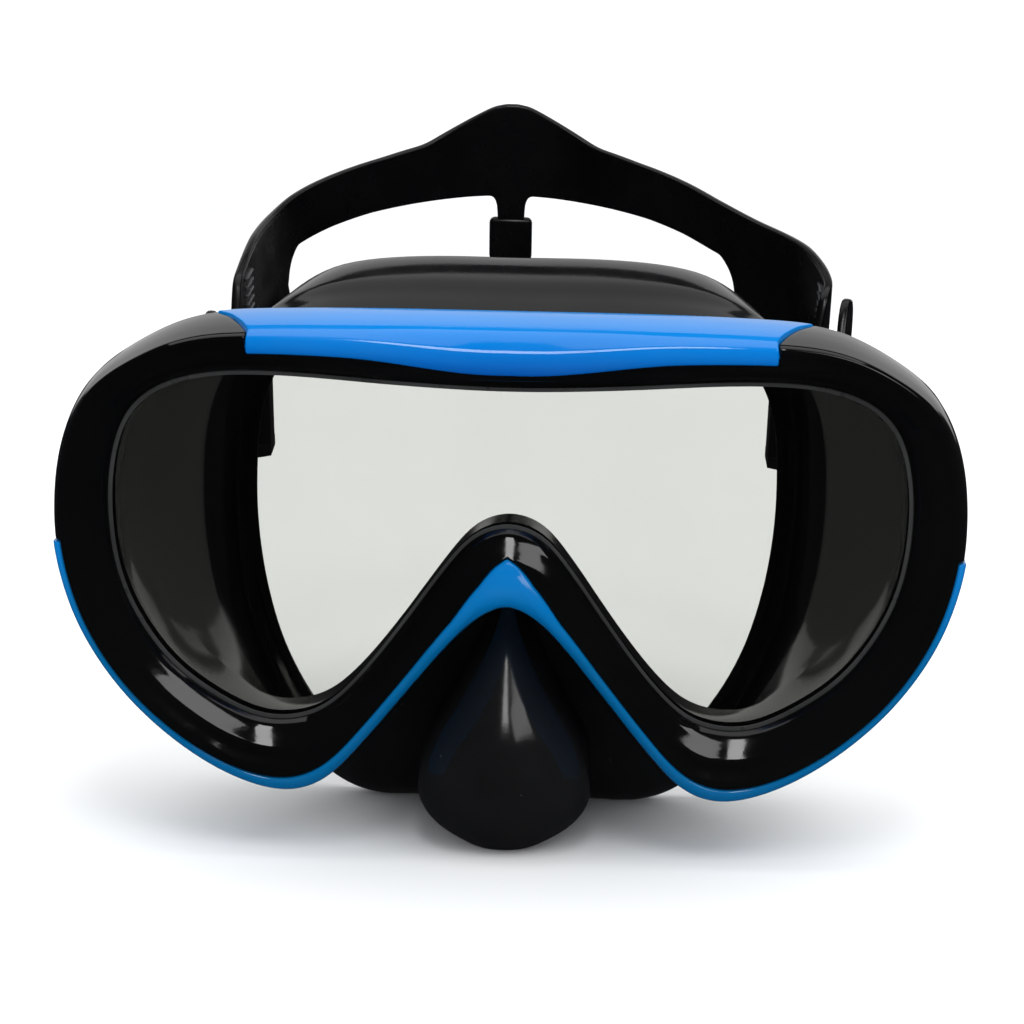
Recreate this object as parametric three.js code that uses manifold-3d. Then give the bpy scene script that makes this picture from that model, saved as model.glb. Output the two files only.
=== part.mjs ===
// A single-window diving mask with a two-colour frame, a silicone skirt with a nose pocket,
// and a split head strap on two swivel buckles. Millimetres, +Z up, the wearer faces -Y.
// The wearer's right is -X. The mask stands on the flat bottom of its nose pocket and skirt.
import * as THREE from "three";
import { mergeVertices } from "three/addons/utils/BufferGeometryUtils.js";
import Module from "manifold-3d";

const wasm = await Module();
wasm.setup();

// ---- Driving dimensions -------------------------------------------------------------------

const STAND_HEIGHT = 60; // from the resting plane up to the middle of the frame
const DEPTH_MIDDLE = 84.8; // from the lens front back to the middle of the whole mask
const GAP = 0.3; // between neighbouring pieces
const CLEARANCE = 6; // how far a cut for a trim runs out in front of the bezel
const LENS_THICKNESS = 4;
const LENS_EDGE = 0.26; // share of the frame width that the lens reaches under the bezel
const LENS_SEAT = 0.31; // share where the bezel's rebate for the lens ends
const BEZEL_REAR = 7.7;
const REAR_FRAME_FRONT = 8.1;
const REAR_FRAME_REAR = 11.7;
const FRAME_DEPTH = 12; // rear edge of the bezel, brow trim and lower trim
const TRIM_WALL = 2.2;
const BEZEL_WALL = 2;
const SKIRT_WALL = 2.2;
const SKIRT_NECK = 14; // depth where the skirt leaves the frame
const NECK_SHARE = 0.13; // share of the frame width where the neck runs

// Half outlines, from the top centre round the wearer's left side to the bottom centre, as x, z.
// Matching points of the outlines face each other across the frame.
const OPENING = [
  [0, 30.8], [22, 31.6], [42, 32.9], [57, 32.5], [66.6, 29.6], [72.4, 24.2], [75.2, 15],
  [75.6, 5], [74.2, -5], [70.6, -14], [64, -23.1], [56, -29.2], [47.5, -33.3], [40.5, -33.6],
  [34.5, -31.5], [28, -25.5], [19.8, -15], [12.3, -4.4], [6.4, 2.4], [0, 4.5],
];
const FRAME_EDGE = [
  [0, 44], [23, 44], [44, 43.6], [60.5, 42.3], [72, 37], [81, 30], [85.7, 19],
  [86.8, 6], [85.6, -4.5], [81.5, -16.8], [73.2, -29.3], [62, -39.6], [51, -46], [41.3, -48.4],
  [34, -46], [26.5, -38], [17, -26.2], [9, -17], [4, -13], [0, -11.6],
];
// The skirt's widest line and its face opening, as x, z and depth.
const SKIRT_EDGE = [
  [0, 52, 48], [20, 52, 48], [36, 50, 48.5], [46, 45, 50], [53, 38, 53], [58, 30, 55.5],
  [61, 20, 57], [62, 8, 57], [62, -3, 57], [61, -14, 57], [59.5, -23, 56.5],
  [56.5, -31, 55.5], [52, -40, 53], [46.5, -48, 50], [41, -53.5, 47.5], [34, -58.4, 45.5],
  [27, -60.6, 45], [18, -60.6, 45], [9, -60.6, 45], [0, -60.6, 45],
];
const LIP_EDGE = [
  [0, 38], [18, 38], [33, 37.4], [43, 34.6], [49.4, 29.4], [52.9, 23], [54.7, 15],
  [55.2, 6], [55.1, -3], [54, -13], [52.3, -21], [49.6, -29.5], [45.6, -37], [41, -43],
  [36.5, -47.5], [30, -50.5], [23, -51.5], [15, -52], [7.5, -52], [0, -52],
];
const LAST_STATION = OPENING.length - 1;
const RING_STATIONS = 2 * LAST_STATION;

// Frame cross-section in front of its rear face: share of the frame width, depth.
const CROWN_AT_BROW = [
  [0, -0.35], [0.09, -1.8], [0.2, -2.8], [0.34, -4.4], [0.46, -4.3], [0.62, -5.6], [0.7, -4.6],
  [0.84, 1], [0.94, 6.5], [1, 12],
];
const CROWN_AT_LOBE = [
  [0, -0.35], [0.09, -1.8], [0.2, -2.8], [0.36, -4.4], [0.46, -4.1], [0.66, -5.6], [0.77, -5.3],
  [0.88, -3.6], [0.96, 2], [1, 12],
];
// Lower trim: share of the frame width where its front edge lies, from station 8 to the apex.
const TRIM_TABLE_START = 8;
const TRIM_START = 7.5; // where the trim's upper end lies
const TRIM_EDGE = [0.78, 0.78, 0.78, 0.77, 0.74, 0.71, 0.7, 0.7, 0.7, 0.68, 0.54, 0.31];
const BROW_HALF_FRONT = 49; // where the brow trim ends on the front face
const BROW_HALF_REAR = 57.5; // and on the top, at the rear edge

// Strap and buckles, in the strap's own frame: origin on the swivel axis, y back, z up.
const SWIVEL = new THREE.Vector3(0, 45.45, 14.18);
const STRAP_LIFT = THREE.MathUtils.degToRad(14);
const STRAP_THICKNESS = 2;
const STRAP_HALF_WIDTH = 63; // half axis of the band across the head
const STRAP_STRAIGHT = 40; // where the straight sides end
const STRAP_ROUND = 88; // half axis of the round back
const STRAP_RISE = 6; // from the swivel axis up to the middle line of the wide band
const STRAP_LEAN = 5.4; // how far the soft band leans to the wearer's right at the back
const STRAP_BULGE = 4.5; // and how far its left side bows out
const TAB_HALF_HEIGHT = 10.8; // the narrow part of the band in its buckle
const LEFT_TAB_LIFT = 8; // how far the soft pull tabs tilt up
const RIGHT_TAB_LIFT = 1.5;
const ROLLER = new THREE.Vector2(66.2, 17);
const ROLLER_RADIUS = 1.9;
const ROLLER_BORE = 1.2;
const ROLLER_PIN_RADIUS = 0.9;
const STRAP_TURN = 3.2; // radius of the band's middle round the roller
const BUCKLE_HALF_HEIGHT = 14;
const BUCKLE_PLATE = 2.5;
const HUB_INSIDE = 65;
const HUB_OUTSIDE = 68.3;
const ARM_INSIDE = 69.4;
const ARM_OUTSIDE = 72;
const EYE_RADIUS = 7.5; // round end of the frame's arm and of the buckle's hub
const STUD_BORE = 3;
const LEVER_PIVOT = new THREE.Vector2(68, 8.2);
const LEVER_PIN_RADIUS = 0.9;
const LEVER_HALF_HEIGHT = 7;
const PIN_INSET = 0.2; // how far the pins end below the plates

// ---- Materials ----------------------------------------------------------------------------

function finish(color, roughness, metalness = 0, extra = {}) {
  return new THREE.MeshStandardMaterial({ color, roughness, metalness, ...extra });
}
const glossBlack = finish(0x050607, 0.12);
const glossBlue = finish(0x0b63c4, 0.15);
const satinBlack = finish(0x0b0c0d, 0.4);
const silicone = finish(0x0a0b0d, 0.35);
const glass = finish(0xdfe8e4, 0.03, 0, { transparent: true, opacity: 0.25 });
const steel = finish(0xb4b7ba, 0.3, 1);

// ---- Geometry helpers ---------------------------------------------------------------------

function toSolid(geometry) {
  const bare = geometry.clone();
  bare.deleteAttribute("normal");
  bare.deleteAttribute("uv");
  const merged = mergeVertices(bare, 1e-4);
  return new wasm.Manifold(
    new wasm.Mesh({
      numProp: 3,
      vertProperties: new Float32Array(merged.attributes.position.array),
      triVerts: new Uint32Array(merged.index.array),
    }),
  );
}

function toGeometry(solid) {
  const mesh = solid.getMesh();
  const geometry = new THREE.BufferGeometry();
  geometry.setAttribute("position", new THREE.BufferAttribute(mesh.vertProperties, 3));
  geometry.setIndex(new THREE.BufferAttribute(mesh.triVerts, 1));
  geometry.computeVertexNormals();
  return geometry;
}

function signedArea(points) {
  let area = 0;
  points.forEach((p, i) => {
    const q = points[(i + 1) % points.length];
    area += p.x * q.y - q.x * p.y;
  });
  return area / 2;
}

// The ring's points in the plane that it lies closest to.
function flatten(ring) {
  const normal = new THREE.Vector3();
  ring.forEach((p, i) => normal.add(p.clone().cross(ring[(i + 1) % ring.length])));
  const turn = new THREE.Quaternion().setFromUnitVectors(
    normal.normalize(),
    new THREE.Vector3(0, 0, 1),
  );
  return ring.map((p) => {
    const q = p.clone().applyQuaternion(turn);
    return new THREE.Vector2(q.x, q.y);
  });
}

// A closed surface through a list of rings with equally many points. A looped list joins its
// last ring to its first; any other list gets a flat cap at each end.
function skin(rings, looped = false) {
  const count = rings[0].length;
  const faces = [];
  const spans = looped ? rings.length : rings.length - 1;
  for (let k = 0; k < spans; k += 1) {
    const near = k * count;
    const far = ((k + 1) % rings.length) * count;
    for (let j = 0; j < count; j += 1) {
      const next = (j + 1) % count;
      faces.push([near + j, near + next, far + next], [near + j, far + next, far + j]);
    }
  }
  const cap = (k, forward) => {
    const contour = flatten(rings[k]);
    const counterClockwise = signedArea(contour) > 0;
    for (const [a, b, c] of THREE.ShapeUtils.triangulateShape(contour, [])) {
      const same = signedArea([contour[a], contour[b], contour[c]]) > 0 === counterClockwise;
      const [first, second] = same === forward ? [b, c] : [c, b];
      faces.push([k * count + a, k * count + first, k * count + second]);
    }
  };
  if (!looped) {
    cap(0, false);
    cap(rings.length - 1, true);
  }
  const points = rings.flat();
  const volume = faces.reduce(
    (sum, [a, b, c]) => sum + points[a].dot(points[b].clone().cross(points[c])),
    0,
  );
  const geometry = new THREE.BufferGeometry().setFromPoints(points);
  geometry.setIndex(faces.flatMap(([a, b, c]) => (volume > 0 ? [a, b, c] : [a, c, b])));
  geometry.computeVertexNormals();
  return geometry;
}

// A flat outline in x, y pulled up from z = low to z = high.
function prism(outline, low, high) {
  const shape = new THREE.Shape(outline.map(([x, y]) => new THREE.Vector2(x, y)));
  const options = { depth: high - low, bevelEnabled: false };
  return new THREE.ExtrudeGeometry(shape, options).translate(0, 0, low);
}

// A flat outline in y, z pulled along x from low to high.
function sidePrism(outline, low, high) {
  const turn = new THREE.Matrix4().makeBasis(
    new THREE.Vector3(0, 1, 0),
    new THREE.Vector3(0, 0, 1),
    new THREE.Vector3(1, 0, 0),
  );
  return prism(outline, low, high).applyMatrix4(turn);
}

function arc(centreX, centreY, radius, fromDegrees, toDegrees, steps) {
  return Array.from({ length: steps + 1 }, (_, i) => {
    const angle = THREE.MathUtils.degToRad(
      THREE.MathUtils.lerp(fromDegrees, toDegrees, i / steps),
    );
    return [centreX + radius * Math.cos(angle), centreY + radius * Math.sin(angle)];
  });
}

// A turned piece: profile of radius, height, turned about z.
function turned(profile, segments = 24) {
  const points = profile.map(([r, h]) => new THREE.Vector2(r, h));
  return new THREE.LatheGeometry(points, segments).rotateX(Math.PI / 2);
}

// The room of a swivel bore along x.
function sideHole(from, to) {
  const profile = [[0, from], [STUD_BORE, from], [STUD_BORE, to], [0, to]];
  return turned(profile).rotateY(Math.PI / 2);
}

function mirrored(geometry) {
  const copy = geometry.index ? geometry.toNonIndexed() : geometry.clone();
  copy.scale(-1, 1, 1);
  const position = copy.attributes.position;
  for (let i = 0; i < position.count; i += 3) {
    const a = new THREE.Vector3().fromBufferAttribute(position, i + 1);
    const b = new THREE.Vector3().fromBufferAttribute(position, i + 2);
    position.setXYZ(i + 1, b.x, b.y, b.z);
    position.setXYZ(i + 2, a.x, a.y, a.z);
  }
  copy.computeVertexNormals();
  return copy;
}

// ---- Outlines round the frame -------------------------------------------------------------

function closedCurve(half) {
  const right = half.map(([x, z, depth = 0]) => new THREE.Vector3(x, depth, z));
  const left = right.slice(1, -1).reverse();
  const all = [...right, ...left.map((p) => new THREE.Vector3(-p.x, p.y, p.z))];
  return new THREE.CatmullRomCurve3(all, true, "centripetal");
}
const openingCurve = closedCurve(OPENING);
const frameCurve = closedCurve(FRAME_EDGE);
const skirtCurve = closedCurve(SKIRT_EDGE);
const lipCurve = closedCurve(LIP_EDGE);

function onCurve(curve, station) {
  const turns = station / RING_STATIONS;
  return curve.getPoint(turns - Math.floor(turns));
}

// A point of the frame at a station: share of the way out from the opening, plus millimetres.
function framePoint(station, share, extra, depth) {
  const inside = onCurve(openingCurve, station);
  const outside = onCurve(frameCurve, station);
  const outward = outside.clone().sub(inside).normalize();
  return inside.lerp(outside, share).addScaledVector(outward, extra).setY(depth);
}

// The station folded onto one side: 0 at the top centre, LAST_STATION at the bottom centre.
function halfStation(station) {
  const wrapped = THREE.MathUtils.euclideanModulo(station, RING_STATIONS);
  return Math.min(wrapped, RING_STATIONS - wrapped);
}

function between(table, position) {
  const low = THREE.MathUtils.clamp(Math.floor(position), 0, table.length - 2);
  const part = THREE.MathUtils.clamp(position - low, 0, 1);
  return THREE.MathUtils.lerp(table[low], table[low + 1], part);
}

// The front surface of the frame at a station: sloping at the brow, steep at the lobes.
function crown(station) {
  const steep = THREE.MathUtils.smoothstep(halfStation(station), 3, 8);
  return CROWN_AT_BROW.map(([share, depth], i) => [
    THREE.MathUtils.lerp(share, CROWN_AT_LOBE[i][0], steep),
    THREE.MathUtils.lerp(depth, CROWN_AT_LOBE[i][1], steep),
  ]);
}

function crownDepth(station, share) {
  const points = crown(station);
  const after = Math.max(1, points.findIndex(([s]) => s >= share));
  const [s0, d0] = points[after - 1];
  const [s1, d1] = points[after];
  return THREE.MathUtils.mapLinear(share, s0, s1, d0, d1);
}

// A section carried round the frame. section(station) lists share, millimetres, depth.
function sweep(first, last, steps, section, looped = false) {
  const rings = [];
  const count = looped ? steps : steps + 1;
  for (let i = 0; i < count; i += 1) {
    const station = THREE.MathUtils.lerp(first, last, i / steps);
    rings.push(section(station).map(([s, mm, d]) => framePoint(station, s, mm, d)));
  }
  return skin(rings, looped);
}

function ring(section) {
  return sweep(0, RING_STATIONS, 2 * RING_STATIONS, section, true);
}

// ---- Lens, bezel, trims and rear frame ----------------------------------------------------

function makeLens() {
  const rails = [
    [LENS_EDGE - 0.03, 0],
    [LENS_EDGE, 0.4],
    [LENS_EDGE, LENS_THICKNESS],
  ];
  return skin(
    rails.map(([share, depth]) =>
      Array.from({ length: 2 * RING_STATIONS }, (_, i) => framePoint(i / 2, share, 0, depth)),
    ),
  );
}

// The brow trim is a shell over the top of the bezel. With grow and clear it is the room that
// the trim needs: grow widens it all round, and clear opens it forwards.
function browShell(grow, clear = 0) {
  const section = (station) => {
    const aside = Math.abs(onCurve(frameCurve, station).x) / BROW_HALF_FRONT;
    const low = THREE.MathUtils.lerp(0.2, 0.32, Math.min(1, aside * aside));
    const ridge = THREE.MathUtils.lerp(0.52, 0.62, Math.min(1, aside * aside));
    return [
      [low, -grow, -5.5 - clear],
      [ridge, 0.3 + grow, -6.2 - clear],
      [0.84, 0.6 + clear, 1 - clear],
      [1, 0.3 + clear, FRAME_DEPTH + grow],
      [1, 0.1 - TRIM_WALL - grow, FRAME_DEPTH + grow],
      [0.84, -1.2 - grow, 2],
      [ridge, -2 - grow, -3.4 + grow],
      [low, -grow, -3.4 + grow],
    ];
  };
  const front = BROW_HALF_FRONT + grow;
  const rear = BROW_HALF_REAR + grow;
  const half = [[front, -12], [front, -3.5], [front + 1.4, 0], [front + 4.3, 6], [rear, 13], [rear, 16]];
  const plan = [...half, ...half.map(([x, y]) => [-x, y]).reverse()];
  const bar = toSolid(sweep(-3.4, 3.4, 28, section));
  return bar.intersect(toSolid(prism(plan, 20, 60)));
}

function trimEdge(station) {
  return between(TRIM_EDGE, halfStation(station) - TRIM_TABLE_START);
}

// The lower trim wraps the outer wall and shows as a line round the lobes and up to the nose.
function lowerShell(grow, clear = 0) {
  const first = TRIM_START - grow / 10;
  const section = (station) => {
    const edge = trimEdge(station);
    const middle = (edge + 1) / 2;
    const shelf = 0.5 + grow;
    return [
      [edge, -grow, crownDepth(station, edge) - 0.3 - clear],
      [middle, grow, crownDepth(station, middle) - 0.3 - clear],
      [1, 0.2 + grow, 3 - clear],
      [1, 0.2 + grow, FRAME_DEPTH + grow],
      [1, -TRIM_WALL - grow, FRAME_DEPTH + grow],
      [1, -TRIM_WALL - grow, shelf],
      [edge, -grow, shelf],
    ];
  };
  return toSolid(sweep(first, RING_STATIONS - first, 88, section));
}

function makeBezel() {
  const section = (station) => [
    ...crown(station).map(([share, depth]) => [share, 0, depth]),
    [1, -BEZEL_WALL, FRAME_DEPTH],
    [1, -BEZEL_WALL, BEZEL_REAR],
    [LENS_SEAT, 0, BEZEL_REAR],
    [LENS_SEAT, 0, -GAP],
  ];
  return toSolid(ring(section))
    .subtract(browShell(GAP, CLEARANCE))
    .subtract(lowerShell(GAP, CLEARANCE));
}

function makeRearFrame() {
  const section = () => [
    [0.2, 0, REAR_FRAME_FRONT],
    [1, -TRIM_WALL - 0.8, REAR_FRAME_FRONT],
    [1, -TRIM_WALL - 0.8, REAR_FRAME_REAR],
    [0.2, 0, REAR_FRAME_REAR],
  ];
  const plan = [
    [77.6, 8.6], [79.8, 8.6], [79.6, 14], [77.8, 22], [74.4, 31], [72.2, 36.4],
    [ARM_OUTSIDE, 38], [ARM_OUTSIDE, 54], [ARM_INSIDE, 54], [ARM_INSIDE, 36.6], [70.2, 33.4],
    [72.4, 28.6], [75.6, 21], [77.2, 15],
  ];
  const side = [
    [8, 0], [20, 2], [37, 6.8],
    ...arc(SWIVEL.y, SWIVEL.z, EYE_RADIUS, -90, 90, 14),
    [37, 21.6], [20, 23], [8, 23],
  ];
  const bore = sideHole(ARM_INSIDE - 1, ARM_OUTSIDE + 1).translate(0, SWIVEL.y, SWIVEL.z);
  const arm = toSolid(prism(plan, 0, 40))
    .intersect(toSolid(sidePrism(side, 68, 90)))
    .subtract(toSolid(bore));
  return toSolid(ring(section)).add(arm).add(toSolid(mirrored(toGeometry(arm))));
}

// ---- Skirt with nose pocket ---------------------------------------------------------------

// Rails of the skirt wall: how far back and how far out a rail lies between neck and edge.
const WALL_RAILS = [[0.3, 0.52], [0.6, 0.88], [0.88, 1]];

function skirtRail(place) {
  return Array.from({ length: 2 * RING_STATIONS }, (_, i) => place(i / 2));
}

function wallPoint(station, back, out, inward) {
  const neck = framePoint(station, NECK_SHARE, -inward, SKIRT_NECK);
  const edge = onCurve(skirtCurve, station);
  const outward = onCurve(frameCurve, station).sub(onCurve(openingCurve, station)).normalize();
  const depth = THREE.MathUtils.lerp(SKIRT_NECK, edge.y, back);
  return neck.lerp(edge.addScaledVector(outward, -inward), out).setY(depth);
}

function edgePoint(station, inset, forward) {
  const edge = onCurve(skirtCurve, station);
  const lip = onCurve(lipCurve, station).setY(edge.y);
  const toLip = lip.clone().sub(edge).normalize();
  return edge.addScaledVector(toLip, inset).setY(edge.y - forward);
}

function lipPoint(station, forward) {
  const depth = onCurve(skirtCurve, station).y;
  return onCurve(lipCurve, station).setY(depth - forward);
}

// Nose pocket levels: height, half width, front depth.
const POCKET_LEVELS = [
  [-14, 3.4, 9.6], [-18, 4.8, 5.5], [-25, 7.8, 0.5], [-31, 10.8, -3.6], [-37, 14.4, -7],
  [-43, 16.6, -8.2], [-48.5, 17.2, -7.2], [-52, 16.6, -5.2], [-55, 15.2, -2.8],
  [-57.6, 13.2, 0], [-60, 10, 3.4],
];
const POCKET_BACK = 41;

function pocket(inward) {
  const levels = POCKET_LEVELS.map(([z, half, front]) => {
    const height = z < -58 ? z + inward : z;
    const across = Math.max(1, half - inward);
    const nose = arc(0, 0, 1, 0, -180, 16).map(
      ([x, y]) => new THREE.Vector3(across * x, front + inward + 16 + 16 * y, height),
    );
    const back = [
      new THREE.Vector3(-across, POCKET_BACK, height),
      new THREE.Vector3(across, POCKET_BACK, height),
    ];
    return [...nose, ...back];
  });
  return toSolid(skin(levels));
}

function makeSkirt() {
  const outside = [
    skirtRail((s) => framePoint(s, LENS_EDGE, 0, LENS_THICKNESS + 0.4)),
    skirtRail((s) => framePoint(s, LENS_EDGE, 0, BEZEL_REAR - 0.1)),
    skirtRail((s) => framePoint(s, NECK_SHARE, 0, BEZEL_REAR)),
    skirtRail((s) => framePoint(s, NECK_SHARE, 0, SKIRT_NECK)),
    ...WALL_RAILS.map(([back, out]) => skirtRail((s) => wallPoint(s, back, out, 0))),
    skirtRail((s) => edgePoint(s, 1.4, 0)),
    skirtRail((s) => lipPoint(s, 1.5)),
  ];
  const inside = [
    skirtRail((s) => framePoint(s, -0.03, 0, 2)),
    skirtRail((s) => framePoint(s, -0.03, 0, SKIRT_NECK)),
    ...WALL_RAILS.map(([back, out]) => skirtRail((s) => wallPoint(s, back, out, SKIRT_WALL))),
    skirtRail((s) => edgePoint(s, SKIRT_WALL + 0.8, 3)),
    skirtRail((s) => lipPoint(s, 4)),
    skirtRail((s) => lipPoint(s, -4)),
  ];
  const floor = [[-90, -20], [90, -20], [90, 70], [-90, 70]];
  return toSolid(skin(outside))
    .add(pocket(0))
    .subtract(toSolid(skin(inside)))
    .subtract(pocket(SKIRT_WALL))
    .subtract(toSolid(prism(floor, -STAND_HEIGHT - 10, -STAND_HEIGHT)));
}

// ---- Strap --------------------------------------------------------------------------------

function degreesOnRound(degrees) {
  const angle = THREE.MathUtils.degToRad(degrees);
  return [
    STRAP_HALF_WIDTH * Math.cos(angle),
    STRAP_STRAIGHT + STRAP_ROUND * Math.sin(angle),
  ];
}

// Half width of the band by angle round the head, from the side at 0 to the centre at 90.
const BAND_HALF = [
  [0, 15.8], [7, 17.8], [14, 19], [27, 19.6], [35, 20.8], [46, 22.2], [60, 23.8], [70, 25.6],
  [76, 29], [82, 32.4], [86, 34.6], [90, 35.4],
];
const WINDOW_HALF = [[31.5, 1.5], [32.5, 5], [35, 8.2], [46, 9.5], [56, 10.3], [86, 11.4]];

function lookUp(table, at) {
  const after = table.findIndex(([key]) => key >= at);
  if (after <= 0) return table[after === 0 ? 0 : table.length - 1][1];
  const [k0, v0] = table[after - 1];
  const [k1, v1] = table[after];
  return THREE.MathUtils.mapLinear(at, k0, k1, v0, v1);
}

// The soft band doesn't lie quite even: its back leans to one side and its left side bows out.
function leaned([x, y, ...heights]) {
  const back = -STRAP_LEAN * THREE.MathUtils.smoothstep(y, 45, 100);
  const bow = THREE.MathUtils.smoothstep(y, 28, 46) * (1 - THREE.MathUtils.smoothstep(y, 62, 95));
  return [x + back + (x > 0 ? STRAP_BULGE * bow : 0), y, ...heights];
}

// A band standing on a flat path: path lists x, y, half height, height of its middle line.
function band(path, thickness) {
  const rings = path.map(([x, y, half, rise], i) => {
    const [x0, y0] = path[Math.max(0, i - 1)];
    const [x1, y1] = path[Math.min(path.length - 1, i + 1)];
    const across = new THREE.Vector3(y1 - y0, x0 - x1, 0).setLength(thickness / 2);
    const middle = new THREE.Vector3(x, y, rise);
    const corner = (side, z) => middle.clone().addScaledVector(across, side).setZ(rise + z);
    return [corner(1, -half), corner(1, half), corner(-1, half), corner(-1, -half)];
  });
  return toSolid(skin(rings));
}

// The free end behind the buckle widens to a rounded pull tab. lift tilts the tab upwards.
function pullTab(lift) {
  const outline = [
    [68.2, 41.6, 5.5], [68.2, 41.2, 8.5], [68.3, 40, 11.4], [68.4, 38.2, 13.4], [68.6, 35.6, 14.6],
    [68.9, 32, 14], [69.2, 28.4, 12], [69.4, 25.4, TAB_HALF_HEIGHT], [69.4, 22, TAB_HALF_HEIGHT],
  ];
  return outline.map(([x, y, half]) => [x, y, half, lift * THREE.MathUtils.smoothstep(y, 24, 40)]);
}

function makeStrap() {
  const turn = arc(ROLLER.x, ROLLER.y, STRAP_TURN, 0, -180, 10);
  const flare = [
    [63, 22, TAB_HALF_HEIGHT, 0], [63, 32, TAB_HALF_HEIGHT, 0], [63, 34, 12, 1.4],
    [63, 36, 13.6, 3.4], [63, 38, 14.8, 5.2],
  ];
  const round = [0, 7, 14, 21, 27, 31, 35, 40, 46, 53, 60, 65, 70, 73, 76, 79, 82, 86];
  const onBack = (degrees, table) => [...degreesOnRound(degrees), lookUp(table, degrees), STRAP_RISE];
  const half = (lift) => [
    ...pullTab(lift),
    ...turn.map(([x, y]) => [x, y, TAB_HALF_HEIGHT, 0]),
    ...flare,
    ...round.map((degrees) => onBack(degrees, BAND_HALF)),
  ];
  const flipped = (points) => points.map(([x, ...rest]) => [-x, ...rest]).reverse();
  const path = [...half(LEFT_TAB_LIFT), onBack(90, BAND_HALF), ...flipped(half(RIGHT_TAB_LIFT))];
  const windowAngles = [31.5, 32.5, 35, 40, 46, 53, 60, 66, 72, 77, 82, 85.7];
  const window = windowAngles.map((degrees) => onBack(degrees, WINDOW_HALF));
  return band(path.map(leaned), STRAP_THICKNESS)
    .subtract(band(window.map(leaned), 8))
    .subtract(band(flipped(window).map(leaned), 8));
}

// ---- Buckles, for the wearer's left side --------------------------------------------------

function pinHole(at, radius) {
  const high = BUCKLE_HALF_HEIGHT + 1;
  return toSolid(
    turned([[0, -high], [radius, -high], [radius, high], [0, high]]).translate(at.x, at.y, 0),
  );
}

function makeBuckleFrame() {
  const plate = [
    [65.4, 4.2], [69.8, 4.2], [70.8, 6.5], [70.8, 20], [67.6, 25.5], [61.4, 31.6], [54.6, 31.6],
    [54.6, 24.6], [60, 21.8], [63.2, 18.6], [63.2, 7.6],
  ];
  const inner = BUCKLE_HALF_HEIGHT - BUCKLE_PLATE;
  const between = (outline) => toSolid(prism(outline, -inner - 0.5, inner + 0.5));
  const hubOutline = [
    [5, -EYE_RADIUS], ...arc(0, 0, EYE_RADIUS, -90, -270, 18), [5, EYE_RADIUS],
  ];
  return toSolid(prism(plate, inner, BUCKLE_HALF_HEIGHT))
    .add(toSolid(prism(plate, -BUCKLE_HALF_HEIGHT, -inner)))
    .add(between([[63.6, 4.2], [68.6, 4.2], [68.6, 5.6], [63.6, 5.6]]))
    .add(between([[54.6, 25], [57.8, 25], [57.8, 31], [54.6, 31]]))
    .add(toSolid(sidePrism(hubOutline, HUB_INSIDE, HUB_OUTSIDE)))
    .subtract(toSolid(sideHole(HUB_INSIDE - 1, HUB_OUTSIDE + 1)))
    .subtract(pinHole(ROLLER, ROLLER_PIN_RADIUS + GAP))
    .subtract(pinHole(LEVER_PIVOT, LEVER_PIN_RADIUS + GAP));
}

function makeRoller() {
  const high = BUCKLE_HALF_HEIGHT - BUCKLE_PLATE - GAP;
  const profile = [
    [ROLLER_BORE, -high], [ROLLER_RADIUS, -high], [ROLLER_RADIUS, high], [ROLLER_BORE, high],
    [ROLLER_BORE, -high],
  ];
  return turned(profile).translate(ROLLER.x, ROLLER.y, 0);
}

function makeRollerPin() {
  const high = BUCKLE_HALF_HEIGHT - PIN_INSET;
  const profile = [
    [0, -high], [ROLLER_PIN_RADIUS, -high], [ROLLER_PIN_RADIUS, high], [0, high],
  ];
  return turned(profile).translate(ROLLER.x, ROLLER.y, 0);
}

function makeLever() {
  const outline = [
    [64.8, 9.2], [67.2, 6], [68.8, 6], [69.3, 9], [73.2, 11.6], [74.4, 19.6], [72.8, 20],
    [72.1, 13.4], [68.2, 11], [65.2, 11],
  ];
  const body = toSolid(prism(outline, -LEVER_HALF_HEIGHT, LEVER_HALF_HEIGHT));
  return body.subtract(pinHole(LEVER_PIVOT, LEVER_PIN_RADIUS + GAP));
}

function makeLeverPin() {
  const high = BUCKLE_HALF_HEIGHT - PIN_INSET;
  const profile = [[0, -high], [LEVER_PIN_RADIUS, -high], [LEVER_PIN_RADIUS, high], [0, high]];
  return turned(profile, 16).translate(LEVER_PIVOT.x, LEVER_PIVOT.y, 0);
}

// The stud and washer sit on the swivel axis, along x.
function makeStud() {
  const profile = [
    [0, 63.3], [2.9, 63.3], [3.5, 63.9], [3.5, 64.7], [2.7, 64.7], [2.7, 72.3], [5.4, 72.3],
    [5.4, 73.4], [4.2, 74.4], [0, 74.4],
  ];
  return turned(profile).rotateY(Math.PI / 2);
}

function makeWasher() {
  const profile = [[STUD_BORE, 68.6], [6, 68.6], [6, 69.1], [STUD_BORE, 69.1], [STUD_BORE, 68.6]];
  return turned(profile).rotateY(Math.PI / 2);
}

// ---- Assembly -----------------------------------------------------------------------------

function piece(name, shape, material) {
  const geometry = shape.isBufferGeometry ? shape : toGeometry(shape);
  const mesh = new THREE.Mesh(geometry, material);
  mesh.name = name;
  return mesh;
}

const mask = new THREE.Group();
mask.position.set(0, -DEPTH_MIDDLE, STAND_HEIGHT);
mask.add(piece("lens", makeLens(), glass));
mask.add(piece("front_bezel", makeBezel(), glossBlack));
mask.add(piece("rear_frame", makeRearFrame(), satinBlack));
mask.add(piece("brow_trim", browShell(0), glossBlue));
mask.add(piece("lower_trim", lowerShell(0), glossBlue));
mask.add(piece("skirt", makeSkirt(), silicone));

const headband = new THREE.Group();
headband.position.copy(SWIVEL);
headband.rotation.x = STRAP_LIFT;
headband.add(piece("strap", makeStrap(), silicone));

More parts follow.
